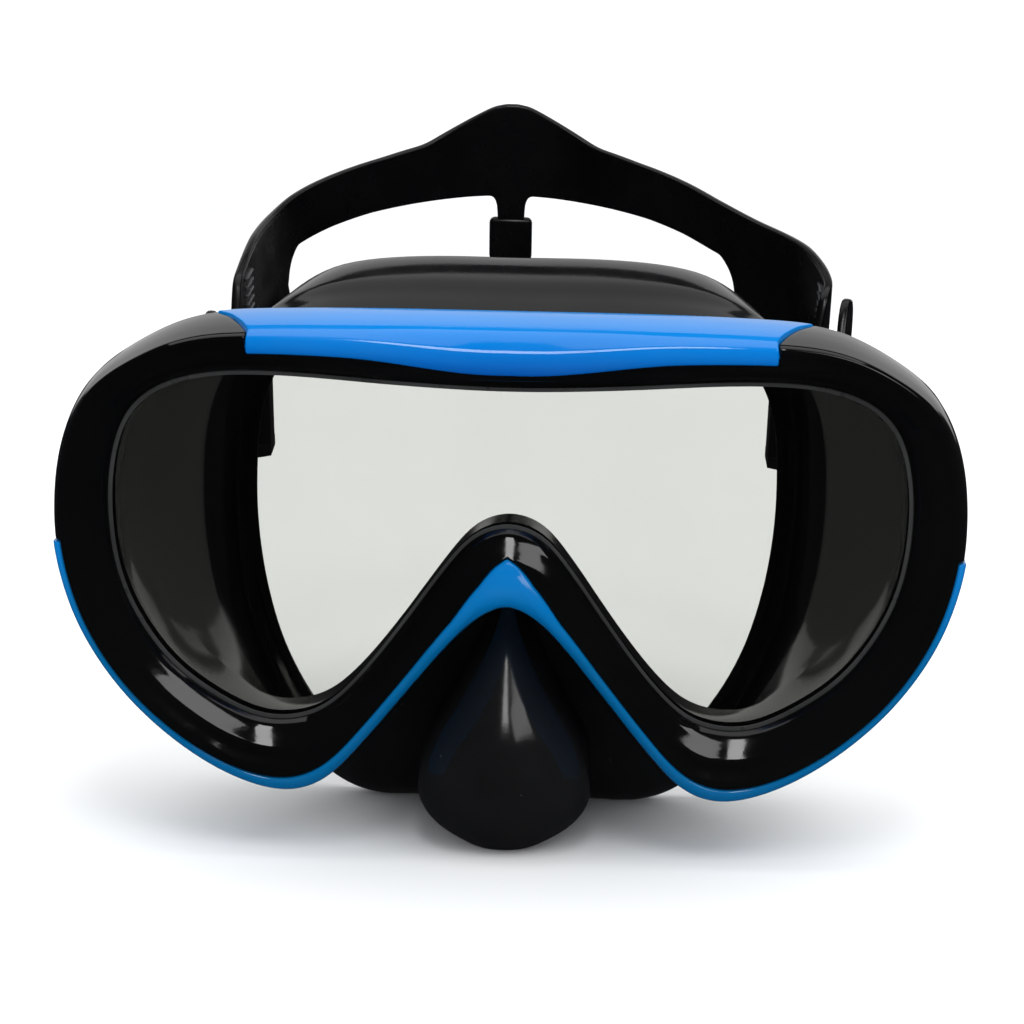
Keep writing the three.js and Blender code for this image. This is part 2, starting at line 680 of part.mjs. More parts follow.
const buckleParts = [
  ["buckle_frame", makeBuckleFrame(), satinBlack],
  ["roller", makeRoller(), satinBlack],
  ["roller_pin", makeRollerPin(), steel],
  ["release_lever", makeLever(), satinBlack],
  ["lever_pin", makeLeverPin(), steel],
];
const fixedParts = [
  ["swivel_stud", makeStud(), satinBlack],
  ["swivel_washer", makeWasher(), satinBlack],
];
for (const side of ["left", "right"]) {
  const handed = (shape) => {
    const geometry = shape.isBufferGeometry ? shape : toGeometry(shape);
    return side === "left" ? geometry : mirrored(geometry);
  };
  for (const [name, shape, material] of buckleParts) {
    headband.add(piece(`${name}_${side}`, handed(shape), material));
  }
  for (const [name, shape, material] of fixedParts) {
    const mesh = piece(`${name}_${side}`, handed(shape), material);
    mesh.position.copy(SWIVEL);
    mask.add(mesh);
  }
}
mask.add(headband);

const part = new THREE.Group();
part.add(mask);

export default part;
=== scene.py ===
"""Looks for the single-window diving mask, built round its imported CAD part.

Shapes are worked out in millimetres in the mask's own frame (x to the wearer's left, y back from
the lens front, z up) or in the strap's frame, and are moved to the row frame in metres at the end.
"""

import contextlib
import math

import bmesh
import bpy
import numpy as np
from mathutils import Matrix, Vector


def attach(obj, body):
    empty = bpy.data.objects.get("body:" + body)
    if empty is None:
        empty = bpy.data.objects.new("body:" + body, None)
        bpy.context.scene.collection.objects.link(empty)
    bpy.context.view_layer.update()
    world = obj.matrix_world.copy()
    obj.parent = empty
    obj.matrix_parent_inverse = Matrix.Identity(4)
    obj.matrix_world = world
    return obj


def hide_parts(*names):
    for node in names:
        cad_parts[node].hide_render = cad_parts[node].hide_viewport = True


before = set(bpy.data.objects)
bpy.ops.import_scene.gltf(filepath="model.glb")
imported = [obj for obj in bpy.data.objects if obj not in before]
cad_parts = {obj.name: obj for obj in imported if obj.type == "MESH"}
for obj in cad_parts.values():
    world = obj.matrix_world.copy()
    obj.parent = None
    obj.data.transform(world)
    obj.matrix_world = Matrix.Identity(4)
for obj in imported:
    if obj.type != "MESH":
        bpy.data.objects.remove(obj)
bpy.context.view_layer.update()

# ---- Dimensions shared with the CAD part, in millimetres ----

MM = 0.001
STAND_HEIGHT = 60.0
DEPTH_MIDDLE = 84.8
FRAME_DEPTH = 12.0  # rear edge of the bezel and both trims
BEZEL_REAR = 7.7
BEZEL_WALL = 2.0
LENS_THICKNESS = 4.0
LENS_EDGE = 0.25  # share of the frame's width that the lens and the skirt's bead reach
TRIM_WALL = 2.2
TRIM_FLOOR = 0.5  # depth of the step that the lower trim lies on
LENS_SEAT = 0.31  # share where the bezel's rebate for the lens ends
SKIRT_NECK = 14.0
NECK_SHARE = 0.13  # share of the frame's width where the skirt's neck runs
SKIRT_WALL = 2.2
SWIVEL = np.array([0.0, 45.45, 14.18])
STRAP_LIFT = math.radians(14)

OPENING = [
    (0, 30.8), (22, 31.6), (42, 32.9), (57, 32.5), (66.6, 29.6), (72.4, 24.2), (75.2, 15),
    (75.6, 5), (74.2, -5), (70.6, -14), (64, -23.1), (56, -29.2), (47.5, -33.3), (40.5, -33.6),
    (34.5, -31.5), (28, -25.5), (19.8, -15), (12.3, -4.4), (6.4, 2.4), (0, 4.5),
]
FRAME_EDGE = [
    (0, 44), (23, 44), (44, 43.6), (60.5, 42.3), (72, 37), (81, 30), (85.7, 19),
    (86.8, 6), (85.6, -4.5), (81.5, -16.8), (73.2, -29.3), (62, -39.6), (51, -46), (41.3, -48.4),
    (34, -46), (26.5, -38), (17, -26.2), (9, -17), (4, -13), (0, -11.6),
]
SKIRT_EDGE = [
    (0, 52, 48), (20, 52, 48), (36, 50, 48.5), (46, 45, 50), (53, 38, 53), (58, 30, 55.5),
    (61, 20, 57), (62, 8, 57), (62, -3, 57), (61, -14, 57), (59.5, -23, 56.5),
    (56.5, -31, 55.5), (52, -40, 53), (46.5, -48, 50), (41, -53.5, 47.5), (34, -58.4, 45.5),
    (27, -60.6, 45), (18, -60.6, 45), (9, -60.6, 45), (0, -60.6, 45),
]
LIP_EDGE = [
    (0, 38), (18, 38), (33, 37.4), (43, 34.6), (49.4, 29.4), (52.9, 23), (54.7, 15),
    (55.2, 6), (55.1, -3), (54, -13), (52.3, -21), (49.6, -29.5), (45.6, -37), (41, -43),
    (36.5, -47.5), (30, -50.5), (23, -51.5), (15, -52), (7.5, -52), (0, -52),
]
CROWN_AT_BROW = np.array([
    (0, -0.35), (0.09, -1.8), (0.2, -2.8), (0.34, -4.4), (0.46, -4.3), (0.62, -5.6), (0.7, -4.6),
    (0.84, 1), (0.94, 6.5), (1, 12),
])
CROWN_AT_LOBE = np.array([
    (0, -0.35), (0.09, -1.8), (0.2, -2.8), (0.36, -4.4), (0.46, -4.1), (0.66, -5.6), (0.77, -5.3),
    (0.88, -3.6), (0.96, 2), (1, 12),
])
CROWN_RADII = [0.3, 0.8, 0.9, 0.7, 1.0, 1.1, 1.8, 4.0, 3.0, 0.5]
TRIM_TABLE_START = 8
TRIM_START = 7.5
TRIM_EDGE = [0.78, 0.78, 0.78, 0.77, 0.74, 0.71, 0.68, 0.66, 0.66, 0.64, 0.52, 0.31]
LAST_STATION = len(OPENING) - 1
RING = 2 * LAST_STATION
FINE = 32  # table columns to a station

# The brow trim's end, as half width by depth, and the column that follows it.
BROW_END = [(-12.0, 49.0), (-3.5, 49.0), (0.0, 50.4), (6.0, 53.3), (13.0, 57.5)]
BROW_COLUMN = 2.4
BROW_STATION_MM = 15.6
LOWER_STATION_MM = 9.0

# ---- Small maths ----


def smoothstep(x, low, high):
    t = np.clip((np.asarray(x, float) - low) / (high - low), 0, 1)
    return t * t * (3 - 2 * t)


def lerp(a, b, t):
    return a + (b - a) * t


def softened_table(at, keys, values, reach, count):
    """Linear look-up, averaged over count places up to reach on both sides."""
    offsets = np.linspace(-reach, reach, count)
    return np.mean([np.interp(at + k, keys, values) for k in offsets], axis=0)


def to_row(points):
    return (np.asarray(points, float) + [0, -DEPTH_MIDDLE, STAND_HEIGHT]) * MM


def strap_to_row(points):
    p = np.asarray(points, float)
    c, s = math.cos(STRAP_LIFT), math.sin(STRAP_LIFT)
    turned = np.stack([p[..., 0], p[..., 1] * c - p[..., 2] * s, p[..., 1] * s + p[..., 2] * c], -1)
    return to_row(turned + SWIVEL)


def closed_table(half):
    """A closed outline as points at every 1/FINE of a station: centripetal, then softened."""
    right = [(p[0], p[2] if len(p) > 2 else 0, p[1]) for p in half]
    ring = np.array(right + [(-x, y, z) for x, y, z in right[-2:0:-1]], float)
    before, here = np.roll(ring, 1, 0), ring
    after, later = np.roll(ring, -1, 0), np.roll(ring, -2, 0)

    def gap(a, b):
        return np.maximum(((a - b) ** 2).sum(1) ** 0.25, 1e-6)[:, None]

    g0, g1, g2 = gap(before, here), gap(here, after), gap(after, later)
    start = (here - before) / g0 - (after - before) / (g0 + g1) + (after - here) / g1
    end = (after - here) / g1 - (later - here) / (g1 + g2) + (later - after) / g2
    start, end = start * g1, end * g1
    t = (np.arange(FINE) / FINE)[None, :, None]
    h, a, s, e = here[:, None], after[:, None], start[:, None], end[:, None]
    fine = h + s * t + (-3 * h + 3 * a - 2 * s - e) * t**2 + (2 * h - 2 * a + s + e) * t**3
    fine = fine.reshape(-1, 3)
    spread = 0.28 * FINE
    reach = int(3 * spread)
    weights = np.exp(-0.5 * (np.arange(-reach, reach + 1) / spread) ** 2)
    weights /= weights.sum()
    return sum(w * np.roll(fine, k, 0) for w, k in zip(weights, range(-reach, reach + 1)))


OPENING_LINE = closed_table(OPENING)
EDGE_LINE = closed_table(FRAME_EDGE)
SKIRT_LINE = closed_table(SKIRT_EDGE)
LIP_LINE = closed_table(LIP_EDGE)
TABLE_STATIONS = np.arange(RING * FINE) / FINE


def along(line, station):
    """Points of a closed table at any stations. line is (columns, n)."""
    place = np.asarray(station, float) * FINE
    low = np.floor(place).astype(int)
    part = (place - low)[..., None]
    count = len(line)
    return line[low % count] * (1 - part) + line[(low + 1) % count] * part


def half_station(station):
    wrapped = np.mod(station, RING)
    return np.minimum(wrapped, RING - wrapped)


def unit(spans):
    return spans / np.linalg.norm(spans, axis=-1, keepdims=True)


def outward_at(station):
    """Directions from the opening out to the frame's edge."""
    return unit(along(EDGE_LINE, station) - along(OPENING_LINE, station))


def across_frame(station, across, depth):
    """Points at millimetres across the frame from its opening, outwards."""
    reach = outward_at(station) * np.asarray(across, float)[..., None]
    points = along(OPENING_LINE, station) + reach
    points[..., 1] = depth
    return points


def at_depth(across, depth):
    """Section points at a depth, one for each column."""
    return np.stack([across, depth * np.ones_like(across)], -1)


def frame_width(station):
    return np.linalg.norm(along(EDGE_LINE, station) - along(OPENING_LINE, station), axis=-1)


def rounded(keys, radii, closed, steps=6):
    """Rounds the corners of many sections at once. keys is (corner, column, 2)."""
    keys = np.asarray(keys, float)
    parts = []
    for k, here in enumerate(keys):
        if not closed and k in (0, len(keys) - 1):
            parts.append(here)
            continue
        back, ahead = keys[k - 1] - here, keys[(k + 1) % len(keys)] - here
        back_length = np.linalg.norm(back, axis=-1, keepdims=True)
        ahead_length = np.linalg.norm(ahead, axis=-1, keepdims=True)
        cut = np.minimum(radii[k], 0.46 * np.minimum(back_length, ahead_length))
        start, end = here + back * cut / back_length, here + ahead * cut / ahead_length
        for t in np.linspace(0, 1, steps):
            parts.append((1 - t) ** 2 * start + 2 * t * (1 - t) * here + t**2 * end)
    return np.array(parts)


def section_normals(section, closed):
    """Outward normals of sections (row, column, 2) that run outwards over the front."""
    if closed:
        run = np.roll(section, -1, 0) - np.roll(section, 1, 0)
    else:
        run = np.gradient(section, axis=0)
    run /= np.maximum(np.linalg.norm(run, axis=-1, keepdims=True), 1e-9)
    return np.stack([run[..., 1], -run[..., 0]], -1)


# ---- Mesh building ----


def grid_faces(rows, columns, loop_rows, loop_columns):
    row = np.arange(rows if loop_rows else rows - 1)
    column = np.arange(columns if loop_columns else columns - 1)
    r, c = np.meshgrid(row, column, indexing="ij")
    r2, c2 = (r + 1) % rows, (c + 1) % columns
    quads = np.stack([r * columns + c, r * columns + c2, r2 * columns + c2, r2 * columns + c], -1)
    return quads.reshape(-1, 4).tolist()


def new_object(name, points, faces):
    mesh = bpy.data.meshes.new(name)
    mesh.from_pydata(np.asarray(points).reshape(-1, 3).tolist(), [], faces)
    made = bpy.data.objects.new(name, mesh)
    bpy.context.scene.collection.objects.link(made)
    tidy_mesh(made)
    return made


@contextlib.contextmanager
def edited(made):
    work = bmesh.new()
    work.from_mesh(made.data)
    yield work
    work.to_mesh(made.data)
    work.free()


def smooth_faces(made):
    made.data.polygons.foreach_set("use_smooth", [True] * len(made.data.polygons))


def tidy_mesh(made, weld=1e-7):
    with edited(made) as work:
        bmesh.ops.remove_doubles(work, verts=work.verts, dist=weld)
        bmesh.ops.dissolve_degenerate(work, edges=work.edges, dist=weld)
        bmesh.ops.recalc_face_normals(work, faces=work.faces)
    smooth_faces(made)
    made.data.update()


def sharpen(made, degrees):
    """Marks edges over an angle as sharp, so that flats and rounds shade as they should."""
    with edited(made) as work:
        for edge in work.edges:
            if len(edge.link_faces) == 2:
                edge.smooth = edge.calc_face_angle(0.0) < math.radians(degrees)


def modifier(made, kind, **settings):
    added = made.modifiers.new(kind.title(), kind)
    for key, value in settings.items():
        setattr(added, key, value)
    return added


def apply_modifiers(made):
    bpy.context.view_layer.update()
    shape = made.evaluated_get(bpy.context.evaluated_depsgraph_get())
    mesh = bpy.data.meshes.new_from_object(shape)
    made.modifiers.clear()
    made.data = mesh


def combine(base, others, operation):
    """Booleans others into base and removes them."""
    for other in others:
        modifier(base, "BOOLEAN", operation=operation, object=other, solver="EXACT")
        apply_modifiers(base)
        bpy.data.objects.remove(other)
    return base


def add_piece(made, body, slot, material, *nodes):
    """Gives a finished mesh its material, its body and the CAD nodes that it replaces."""
    made.data.materials.clear()
    made.data.materials.append(material)
    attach(made, body)
    if nodes:
        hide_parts(*nodes)


# ---- Materials ----


class Nodes:
    """A node tree with short names for what the materials here share."""

    def __init__(self, name):
        self.material = bpy.data.materials.new(name)
        self.material.use_nodes = True
        self.tree = self.material.node_tree
        self.tree.nodes.clear()
        self.out = self.add("ShaderNodeOutputMaterial")
        coordinates = self.add("ShaderNodeTexCoord")
        self.place = coordinates.outputs["Object"]
        self.normal = coordinates.outputs["Normal"]

    def add(self, kind, inputs=None, **settings):
        """A new node. inputs gives sockets to link or constants, by input name or number."""
        node = self.tree.nodes.new(kind)
        for key, value in settings.items():
            setattr(node, key, value)
        for key, value in (inputs or {}).items():
            if isinstance(value, bpy.types.NodeSocket):
                self.tree.links.new(value, node.inputs[key])
            else:
                node.inputs[key].default_value = value
        return node

    def finish(self, shader):
        self.tree.links.new(shader.outputs[0], self.out.inputs["Surface"])
        return self.material

    def noise(self, scale, detail, stretch=(1, 1, 1), roughness=0.5):
        mapping = self.add("ShaderNodeMapping", {"Scale": stretch, "Vector": self.place})
        texture = self.add("ShaderNodeTexNoise", {
            "Scale": scale, "Detail": detail, "Roughness": roughness, "Vector": mapping.outputs[0],
        })
        return texture.outputs[0]

    def range(self, value, low, high, out_low, out_high):
        return self.add("ShaderNodeMapRange", {
            "Value": value, "From Min": low, "From Max": high, "To Min": out_low, "To Max": out_high,
        }).outputs[0]

    def part_of(self, index):
        """One of x, y and z of the place on the object."""
        return self.add("ShaderNodeSeparateXYZ", {0: self.place}).outputs[index]

    def product(self, first, second):
        return self.add("ShaderNodeMath", {0: first, 1: second}, operation="MULTIPLY").outputs[0]

    def facing_in(self, middle):
        """1 on surfaces that face the fore and aft line through middle, 0 on the others."""
        kind = "ShaderNodeVectorMath"
        away = self.add(kind, {0: self.place, 1: middle}, operation="SUBTRACT")
        flat = self.add(kind, {0: away.outputs[0], 1: (1, 0, 1)}, operation="MULTIPLY")
        dot = self.add(kind, {0: flat.outputs[0], 1: self.normal}, operation="DOT_PRODUCT")
        return self.range(dot.outputs["Value"], -0.006, -0.001, 1, 0)

    def mix(self, factor, first, second):
        ends = [
            end if isinstance(end, bpy.types.NodeSocket) else (*end, 1) for end in (first, second)
        ]
        mixed = self.add("ShaderNodeMix", {0: factor, 6: ends[0], 7: ends[1]}, data_type="RGBA")
        return mixed.outputs[2]

    def tones(self, mark, deep, light):
        return self.mix(self.range(mark, 0.3, 0.7, 0, 1), deep, light)

    def bump(self, height, strength, distance):
        return self.add("ShaderNodeBump", {
            "Strength": strength, "Distance": distance, "Height": height,
        }).outputs[0]

    def principled(self, color, roughness, extra):
        inputs = {"Base Color": color, "Roughness": roughness, **extra}
        return self.finish(self.add("ShaderNodeBsdfPrincipled", inputs))


def gloss_plastic(name, deep, light, smooth_low, smooth_high, shade=None):
    """Polished moulded plastic: faint flow tone, a soft orange peel and fine wiping marks.
    shade is a low height, a high height and the darker colour at the low one: painted shade, darker
    towards the bottom where less light falls."""
    n = Nodes(name)
    color = n.tones(n.noise(22, 2, (1, 0.6, 1)), deep, light)
    if shade is not None:
        low, high, painted_shade_color = shade
        # painted shade: the colour darkens from the high height down to the low one
        color = n.mix(n.range(n.part_of(2), low, high, 1, 0), color, painted_shade_color)
    wipe = n.noise(160, 5, (0.35, 1, 2.2))
    roughness = n.range(wipe, 0.35, 0.75, smooth_low, smooth_high)
    peel = n.bump(n.noise(420, 2), 0.05, 0.0003)
    return n.principled(color, roughness, {"Normal": peel, "IOR": 1.5})


def satin_plastic(name, deep, light, smooth_low, smooth_high):
    """Spark-eroded satin plastic: fine even grain."""
    n = Nodes(name)
    color = n.tones(n.noise(60, 3), deep, light)
    roughness = n.range(n.noise(240, 4), 0.3, 0.7, smooth_low, smooth_high)
    grain = n.bump(n.noise(2600, 2), 0.25, 0.00012)
    return n.principled(color, roughness, {"Normal": grain, "IOR": 1.46})


def silicone_rubber(name, deep, light, smooth_low, smooth_high, dust=0.5, inside=None):
    """Moulded silicone: soft gloss, cloudy wipe marks and a scatter of fine dust. inside is the
    paler colour painted on the inner side of the wall between the lens and the face lip: painted
    light, for the light that falls in through the lens."""
    n = Nodes(name)
    color = n.tones(n.noise(45, 4, roughness=0.6), deep, light)
    if inside is not None:
        lip_begins, lip_full, nose_half, chamber_from = -0.051, -0.0495, 0.03, 0.035
        before_lip = n.range(n.part_of(1), lip_begins, lip_full, 1, 0)
        across = n.part_of(0)
        beside_nose = n.range(n.product(across, across), nose_half**2, chamber_from**2, 0, 1)
        wall = n.product(before_lip, n.facing_in((0, 0, 0.065)))
        # painted light: the inner side walls beside the nose are painted paler
        color = n.mix(n.product(wall, beside_nose), color, inside)
    specks = n.add("ShaderNodeTexVoronoi", {"Scale": 420, "Vector": n.place}, feature="F1")
    near = n.range(specks.outputs["Distance"], 0.05, 0.09, 1, 0)
    patch = n.range(n.noise(130, 3), 0.55, 0.72, 0, dust)
    color = n.mix(n.product(near, patch), color, (0.11, 0.115, 0.12))
    roughness = n.range(n.noise(90, 5), 0.3, 0.72, smooth_low, smooth_high)
    skin = n.bump(n.noise(900, 3), 0.06, 0.0002)
    return n.principled(color, roughness, {"Normal": skin, "IOR": 1.41})


def brushed_steel(name):
    """Drawn steel with fine turning marks."""
    n = Nodes(name)
    turn_marks = n.noise(900, 3, (1, 1, 0.08))
    color = n.tones(turn_marks, (0.5, 0.51, 0.52), (0.68, 0.69, 0.7))
    roughness = n.range(turn_marks, 0.3, 0.7, 0.2, 0.36)
    lines = n.bump(turn_marks, 0.1, 0.0001)
    return n.principled(color, roughness, {"Normal": lines, "Metallic": 1.0})


def clear_glass(name):
    """Tempered glass that lets light straight through, with a faint smear in its gloss."""
    n = Nodes(name)
    smear = n.noise(26, 4, (1, 1, 0.5), 0.6)
    tint = n.mix(n.range(smear, 0.3, 0.75, 0, 1), (0.738, 0.741, 0.718), (0.718, 0.724, 0.7))
    through = n.add("ShaderNodeBsdfTransparent", {"Color": tint})
    polish = n.range(smear, 0.3, 0.8, 0.02, 0.06)
    gloss = n.add("ShaderNodeBsdfGlossy", {"Roughness": polish})
    fresnel = n.add("ShaderNodeFresnel", {"IOR": 1.5})
    facing = n.add("ShaderNodeNewGeometry").outputs["Backfacing"]
    ends = {0: facing, 2: fresnel.outputs[0], 3: 0.0}
    share = n.add("ShaderNodeMix", ends, data_type="FLOAT").outputs[0]
    layers = {0: share, 1: through.outputs[0], 2: gloss.outputs[0]}
    return n.finish(n.add("ShaderNodeMixShader", layers))


def floor_paper(name):
    """Matt white paper with a slight unevenness."""
    n = Nodes(name)
    color = n.mix(n.noise(6, 3), (0.9, 0.905, 0.905), (0.93, 0.935, 0.935))
    roughness = n.range(n.noise(300, 2), 0.3, 0.7, 0.75, 0.9)
    return n.principled(color, roughness, {"Specular IOR Level": 0.0})


BLACK = gloss_plastic("gloss_black", (0.0010, 0.0011, 0.0012), (0.0022, 0.0023, 0.0024), 0.05, 0.13)
# The brow's front is painted darker towards its lower edge: painted shade, not a change in the
# plastic.
BROW_BLUE = gloss_plastic(
    "brow_blue", (0.0008, 0.2, 0.6), (0.0014, 0.22, 0.66), 0.07, 0.16,
    shade=(0.094, 0.1035, (0.0006, 0.075, 0.34)),
)
# The lower trim is the brow's blue plastic, given a darker colour as painted shade and painted
# darker still towards its bottom.
TRIM_BLUE_SHADED = gloss_plastic(
    "trim_blue_shaded", (0.0008, 0.14, 0.42), (0.0014, 0.155, 0.46), 0.07, 0.16,
    shade=(0.04, 0.06, (0.0008, 0.095, 0.25)),
)
SATIN = satin_plastic("satin_black", (0.006, 0.0062, 0.0065), (0.010, 0.0102, 0.0105), 0.32, 0.46)
# The paler inside colour is painted light on the inner walls, not a different rubber.
SILICONE = silicone_rubber(
    "silicone", (0.004, 0.0041, 0.0043), (0.0075, 0.0077, 0.008), 0.09, 0.19,
    inside=(0.07, 0.073, 0.07),
)
STRAP_RUBBER = silicone_rubber(
    "strap_silicone", (0.001, 0.0012, 0.0014), (0.0024, 0.0026, 0.003), 0.2, 0.34, 0.2
)
# The ribs are the strap's own silicone, painted paler as a painted highlight for the glints along
# them.
RIB_GLINT_RUBBER = silicone_rubber(
    "rib_painted_glint", (0.03, 0.032, 0.034), (0.05, 0.052, 0.055), 0.2, 0.34, 0.0
)
# The lens edge's rubber is painted pale grey: a painted highlight for the thin light line round the
# lens.
GASKET_PAINTED_HIGHLIGHT = satin_plastic("gasket_painted_highlight", (0.02, 0.021, 0.021), (0.035, 0.037, 0.037), 0.25, 0.4)
STEEL = brushed_steel("steel")
GLASS = clear_glass("glass")

# ---- Bezel and trims ----


def crown_sections(station):
    """Rounded front sections (row, column, 2) as millimetres across and depth."""
    steep = smoothstep(half_station(station), 3, 8)
    width = frame_width(station)
    keys = [
        np.stack([lerp(b[0], l[0], steep) * width, lerp(b[1], l[1], steep)], -1)
        for b, l in zip(CROWN_AT_BROW, CROWN_AT_LOBE)
    ]
    return rounded(keys, CROWN_RADII, closed=False)


def brow_low(station):
    """Shares of the frame's width at the brow trim's lower edge and at its ridge."""
    aside = smoothstep(np.abs(along(EDGE_LINE, station)[..., 0]), 4, 33)
    return lerp(0.19, 0.33, aside), lerp(0.5, 0.62, aside)


def trim_edge(half):
    """Share of the frame's width where the lower trim begins."""
    return np.interp(half, TRIM_TABLE_START + np.arange(len(TRIM_EDGE)), TRIM_EDGE)


def seam_share(station):
    half = half_station(station)
    return np.where(
        half < TRIM_START,
        lerp(brow_low(station)[0], TRIM_EDGE[0], smoothstep(half, 3.4, 7.1)),
        trim_edge(half),
    )


STEP_SLOPE = 0.14  # how far past a seam the bezel's step takes to reach its depth
STEP_DEPTH = 1.1
SEAM_ROUND = 0.36
STEP = np.array([-SEAM_ROUND, -0.25, -0.15, -0.06, 0.0, STEP_SLOPE, 0.3])  # places past a seam
SEAM_GAP = 0.16  # from a seam to the trim beside it
FAR_PAST = 9.0  # stands for any distance well away from a seam
CORNER_ROWS = 4  # rows that round a corner of a rear face


def sink(past):
    """How far the bezel drops under a trim, by millimetres past the seam."""
    lip = np.clip(past + SEAM_ROUND, 0, SEAM_ROUND)
    rolled = SEAM_ROUND - np.sqrt(np.maximum(SEAM_ROUND**2 - lip**2, 0))
    return rolled + np.clip(past / STEP_SLOPE, 0, 1) * STEP_DEPTH


def lay(sections, normals, station):
    """Section points and normals (row, column, 3) on the frame."""
    inside, outward = along(OPENING_LINE, station), outward_at(station)
    points = inside[None] + outward[None] * sections[..., 0:1]
    points[..., 1] = sections[..., 1]
    lifted = outward[None] * normals[..., 0:1]
    lifted[..., 1] = normals[..., 1]
    return points, lifted


def end_shift(points):
    """How many stations each row moves so that its seam column follows the brow's end."""
    place = np.full(len(points), BROW_COLUMN)
    depths, halves = zip(*BROW_END)
    for _ in range(12):
        here = np.array([along(row, s) for row, s in zip(points, place)])
        place += (np.interp(here[:, 1], depths, halves) - here[:, 0]) / BROW_STATION_MM
    return place - BROW_COLUMN


def bump_at(column):
    """Share of the end shift by signed column number."""
    size = np.abs(column)
    rise, fall = smoothstep(size, 0.8, BROW_COLUMN), smoothstep(size, BROW_COLUMN, 4.2)
    return np.sign(column) * np.where(size < BROW_COLUMN, rise, 1 - fall)


def signed(station):
    """Stations from the middle of the brow, negative on the wearer's right."""
    return np.mod(station + RING / 2, RING) - RING / 2


def warped(rows_table, column, shift):
    """Samples each row of a table at its own shifted stations."""
    stations = column[None] + shift[:, None] * bump_at(signed(column))[None]
    return np.array([along(row, s) for row, s in zip(rows_table, stations)])


def run_lengths(sections):
    """How far each row lies along its section."""
    steps = np.linalg.norm(np.diff(sections, axis=0), axis=-1)
    return np.concatenate([np.zeros((1, sections.shape[1])), np.cumsum(steps, 0)])


def at_run(run, lengths, values):
    """A section's two values at places along it."""
    return np.stack([np.interp(run, lengths, values[:, k]) for k in (0, 1)], -1)


def front_rows(station):
    """Front sections resampled so that one row follows the seam. Returns also the row's
    millimetres past the seam."""
    raw = crown_sections(station)
    lengths = run_lengths(raw)
    seam_across = seam_share(station) * frame_width(station)
    made, past = [], []
    for c in range(raw.shape[1]):
        seam = np.interp(seam_across[c], raw[:, c, 0], lengths[:, c])
        total = lengths[-1, c] - 0.5
        run = np.concatenate([
            np.linspace(0, seam + STEP[0], 40, endpoint=False),
            seam + STEP,
            np.linspace(seam + STEP[-1], total, 42)[1:],
        ])
        made.append(at_run(run, lengths[:, c], raw[:, c]))
        past.append(run - seam)
    return np.stack(made, 1), np.stack(past, 1)


def ring_columns():
    """Even columns round the frame, with fine ones at the four seams between the trims."""
    even = np.arange(0, RING, 1 / 18)
    brow = BROW_COLUMN - STEP / BROW_STATION_MM
    lower = TRIM_START + STEP / LOWER_STATION_MM
    special = np.concatenate([brow, RING - brow, lower, RING - lower])
    centres = np.array([BROW_COLUMN, RING - BROW_COLUMN, TRIM_START, RING - TRIM_START])
    clear = np.min(np.abs(even[:, None] - centres[None]), axis=1) > 0.055
    return np.sort(np.concatenate([even[clear], special]))


def make_bezel():
    sections, past = front_rows(TABLE_STATIONS)
    front_count = len(sections)
    width = frame_width(TABLE_STATIONS)
    rear_keys = [
        sections[-1],
        at_depth(width, FRAME_DEPTH),
        at_depth(width - BEZEL_WALL, FRAME_DEPTH),
        at_depth(width - BEZEL_WALL, BEZEL_REAR),
        at_depth(LENS_SEAT * width, BEZEL_REAR),
        at_depth(LENS_SEAT * width, -0.3),
        sections[0],
    ]
    radii = [0, 0.5, 0.4, 0.3, 0.3, 0.2, 0]
    rear = rounded(rear_keys, radii, closed=False, steps=CORNER_ROWS)[1:-1]
    loop = np.concatenate([sections, rear])
    points, normals = lay(loop, section_normals(loop, closed=False), TABLE_STATIONS)
    shift = end_shift(points)
    column = ring_columns()
    spot = warped(points, column, shift)
    outward = warped(normals, column, shift)
    beyond = np.full((len(loop), len(column)), -FAR_PAST)
    beyond[:front_count] = warped(past[..., None], column, shift)[..., 0]
    beyond[front_count : front_count + CORNER_ROWS] = FAR_PAST
    brow = (BROW_COLUMN - np.abs(signed(column))) * BROW_STATION_MM
    lower = (half_station(column) - TRIM_START) * LOWER_STATION_MM
    covered = np.minimum(beyond, np.maximum(brow, lower)[None])
    spot = spot - outward * sink(covered)[..., None]
    faces = grid_faces(len(loop), len(column), True, True)
    return new_object("bezel_shell", to_row(spot), faces)


def capped_sweep(name, section_points, normals, inset):
    """A swept closed section with its two ends drawn in by inset and closed."""
    spot = section_points - normals * inset[None, :, None]
    rows, columns = spot.shape[:2]
    faces = grid_faces(rows, columns, True, False)
    faces.append([r * columns for r in range(rows)])
    faces.append([r * columns + columns - 1 for r in reversed(range(rows))])
    return new_object(name, to_row(spot), faces)


def end_columns(first, last, count, station_mm):
    """Columns with rounded ends, and how far each is drawn in."""
    radius = 0.35
    steps = np.array([0, 0.04, 0.1, 0.18, 0.26, 0.35])
    drawn = radius - np.sqrt(radius**2 - (radius - steps) ** 2)
    near = first + steps / station_mm
    far = last - steps[::-1] / station_mm
    middle = np.linspace(near[-1], far[0], count)[1:-1]
    column = np.concatenate([near, middle, far])
    return column, np.concatenate([drawn, np.zeros(len(middle)), drawn[::-1]])


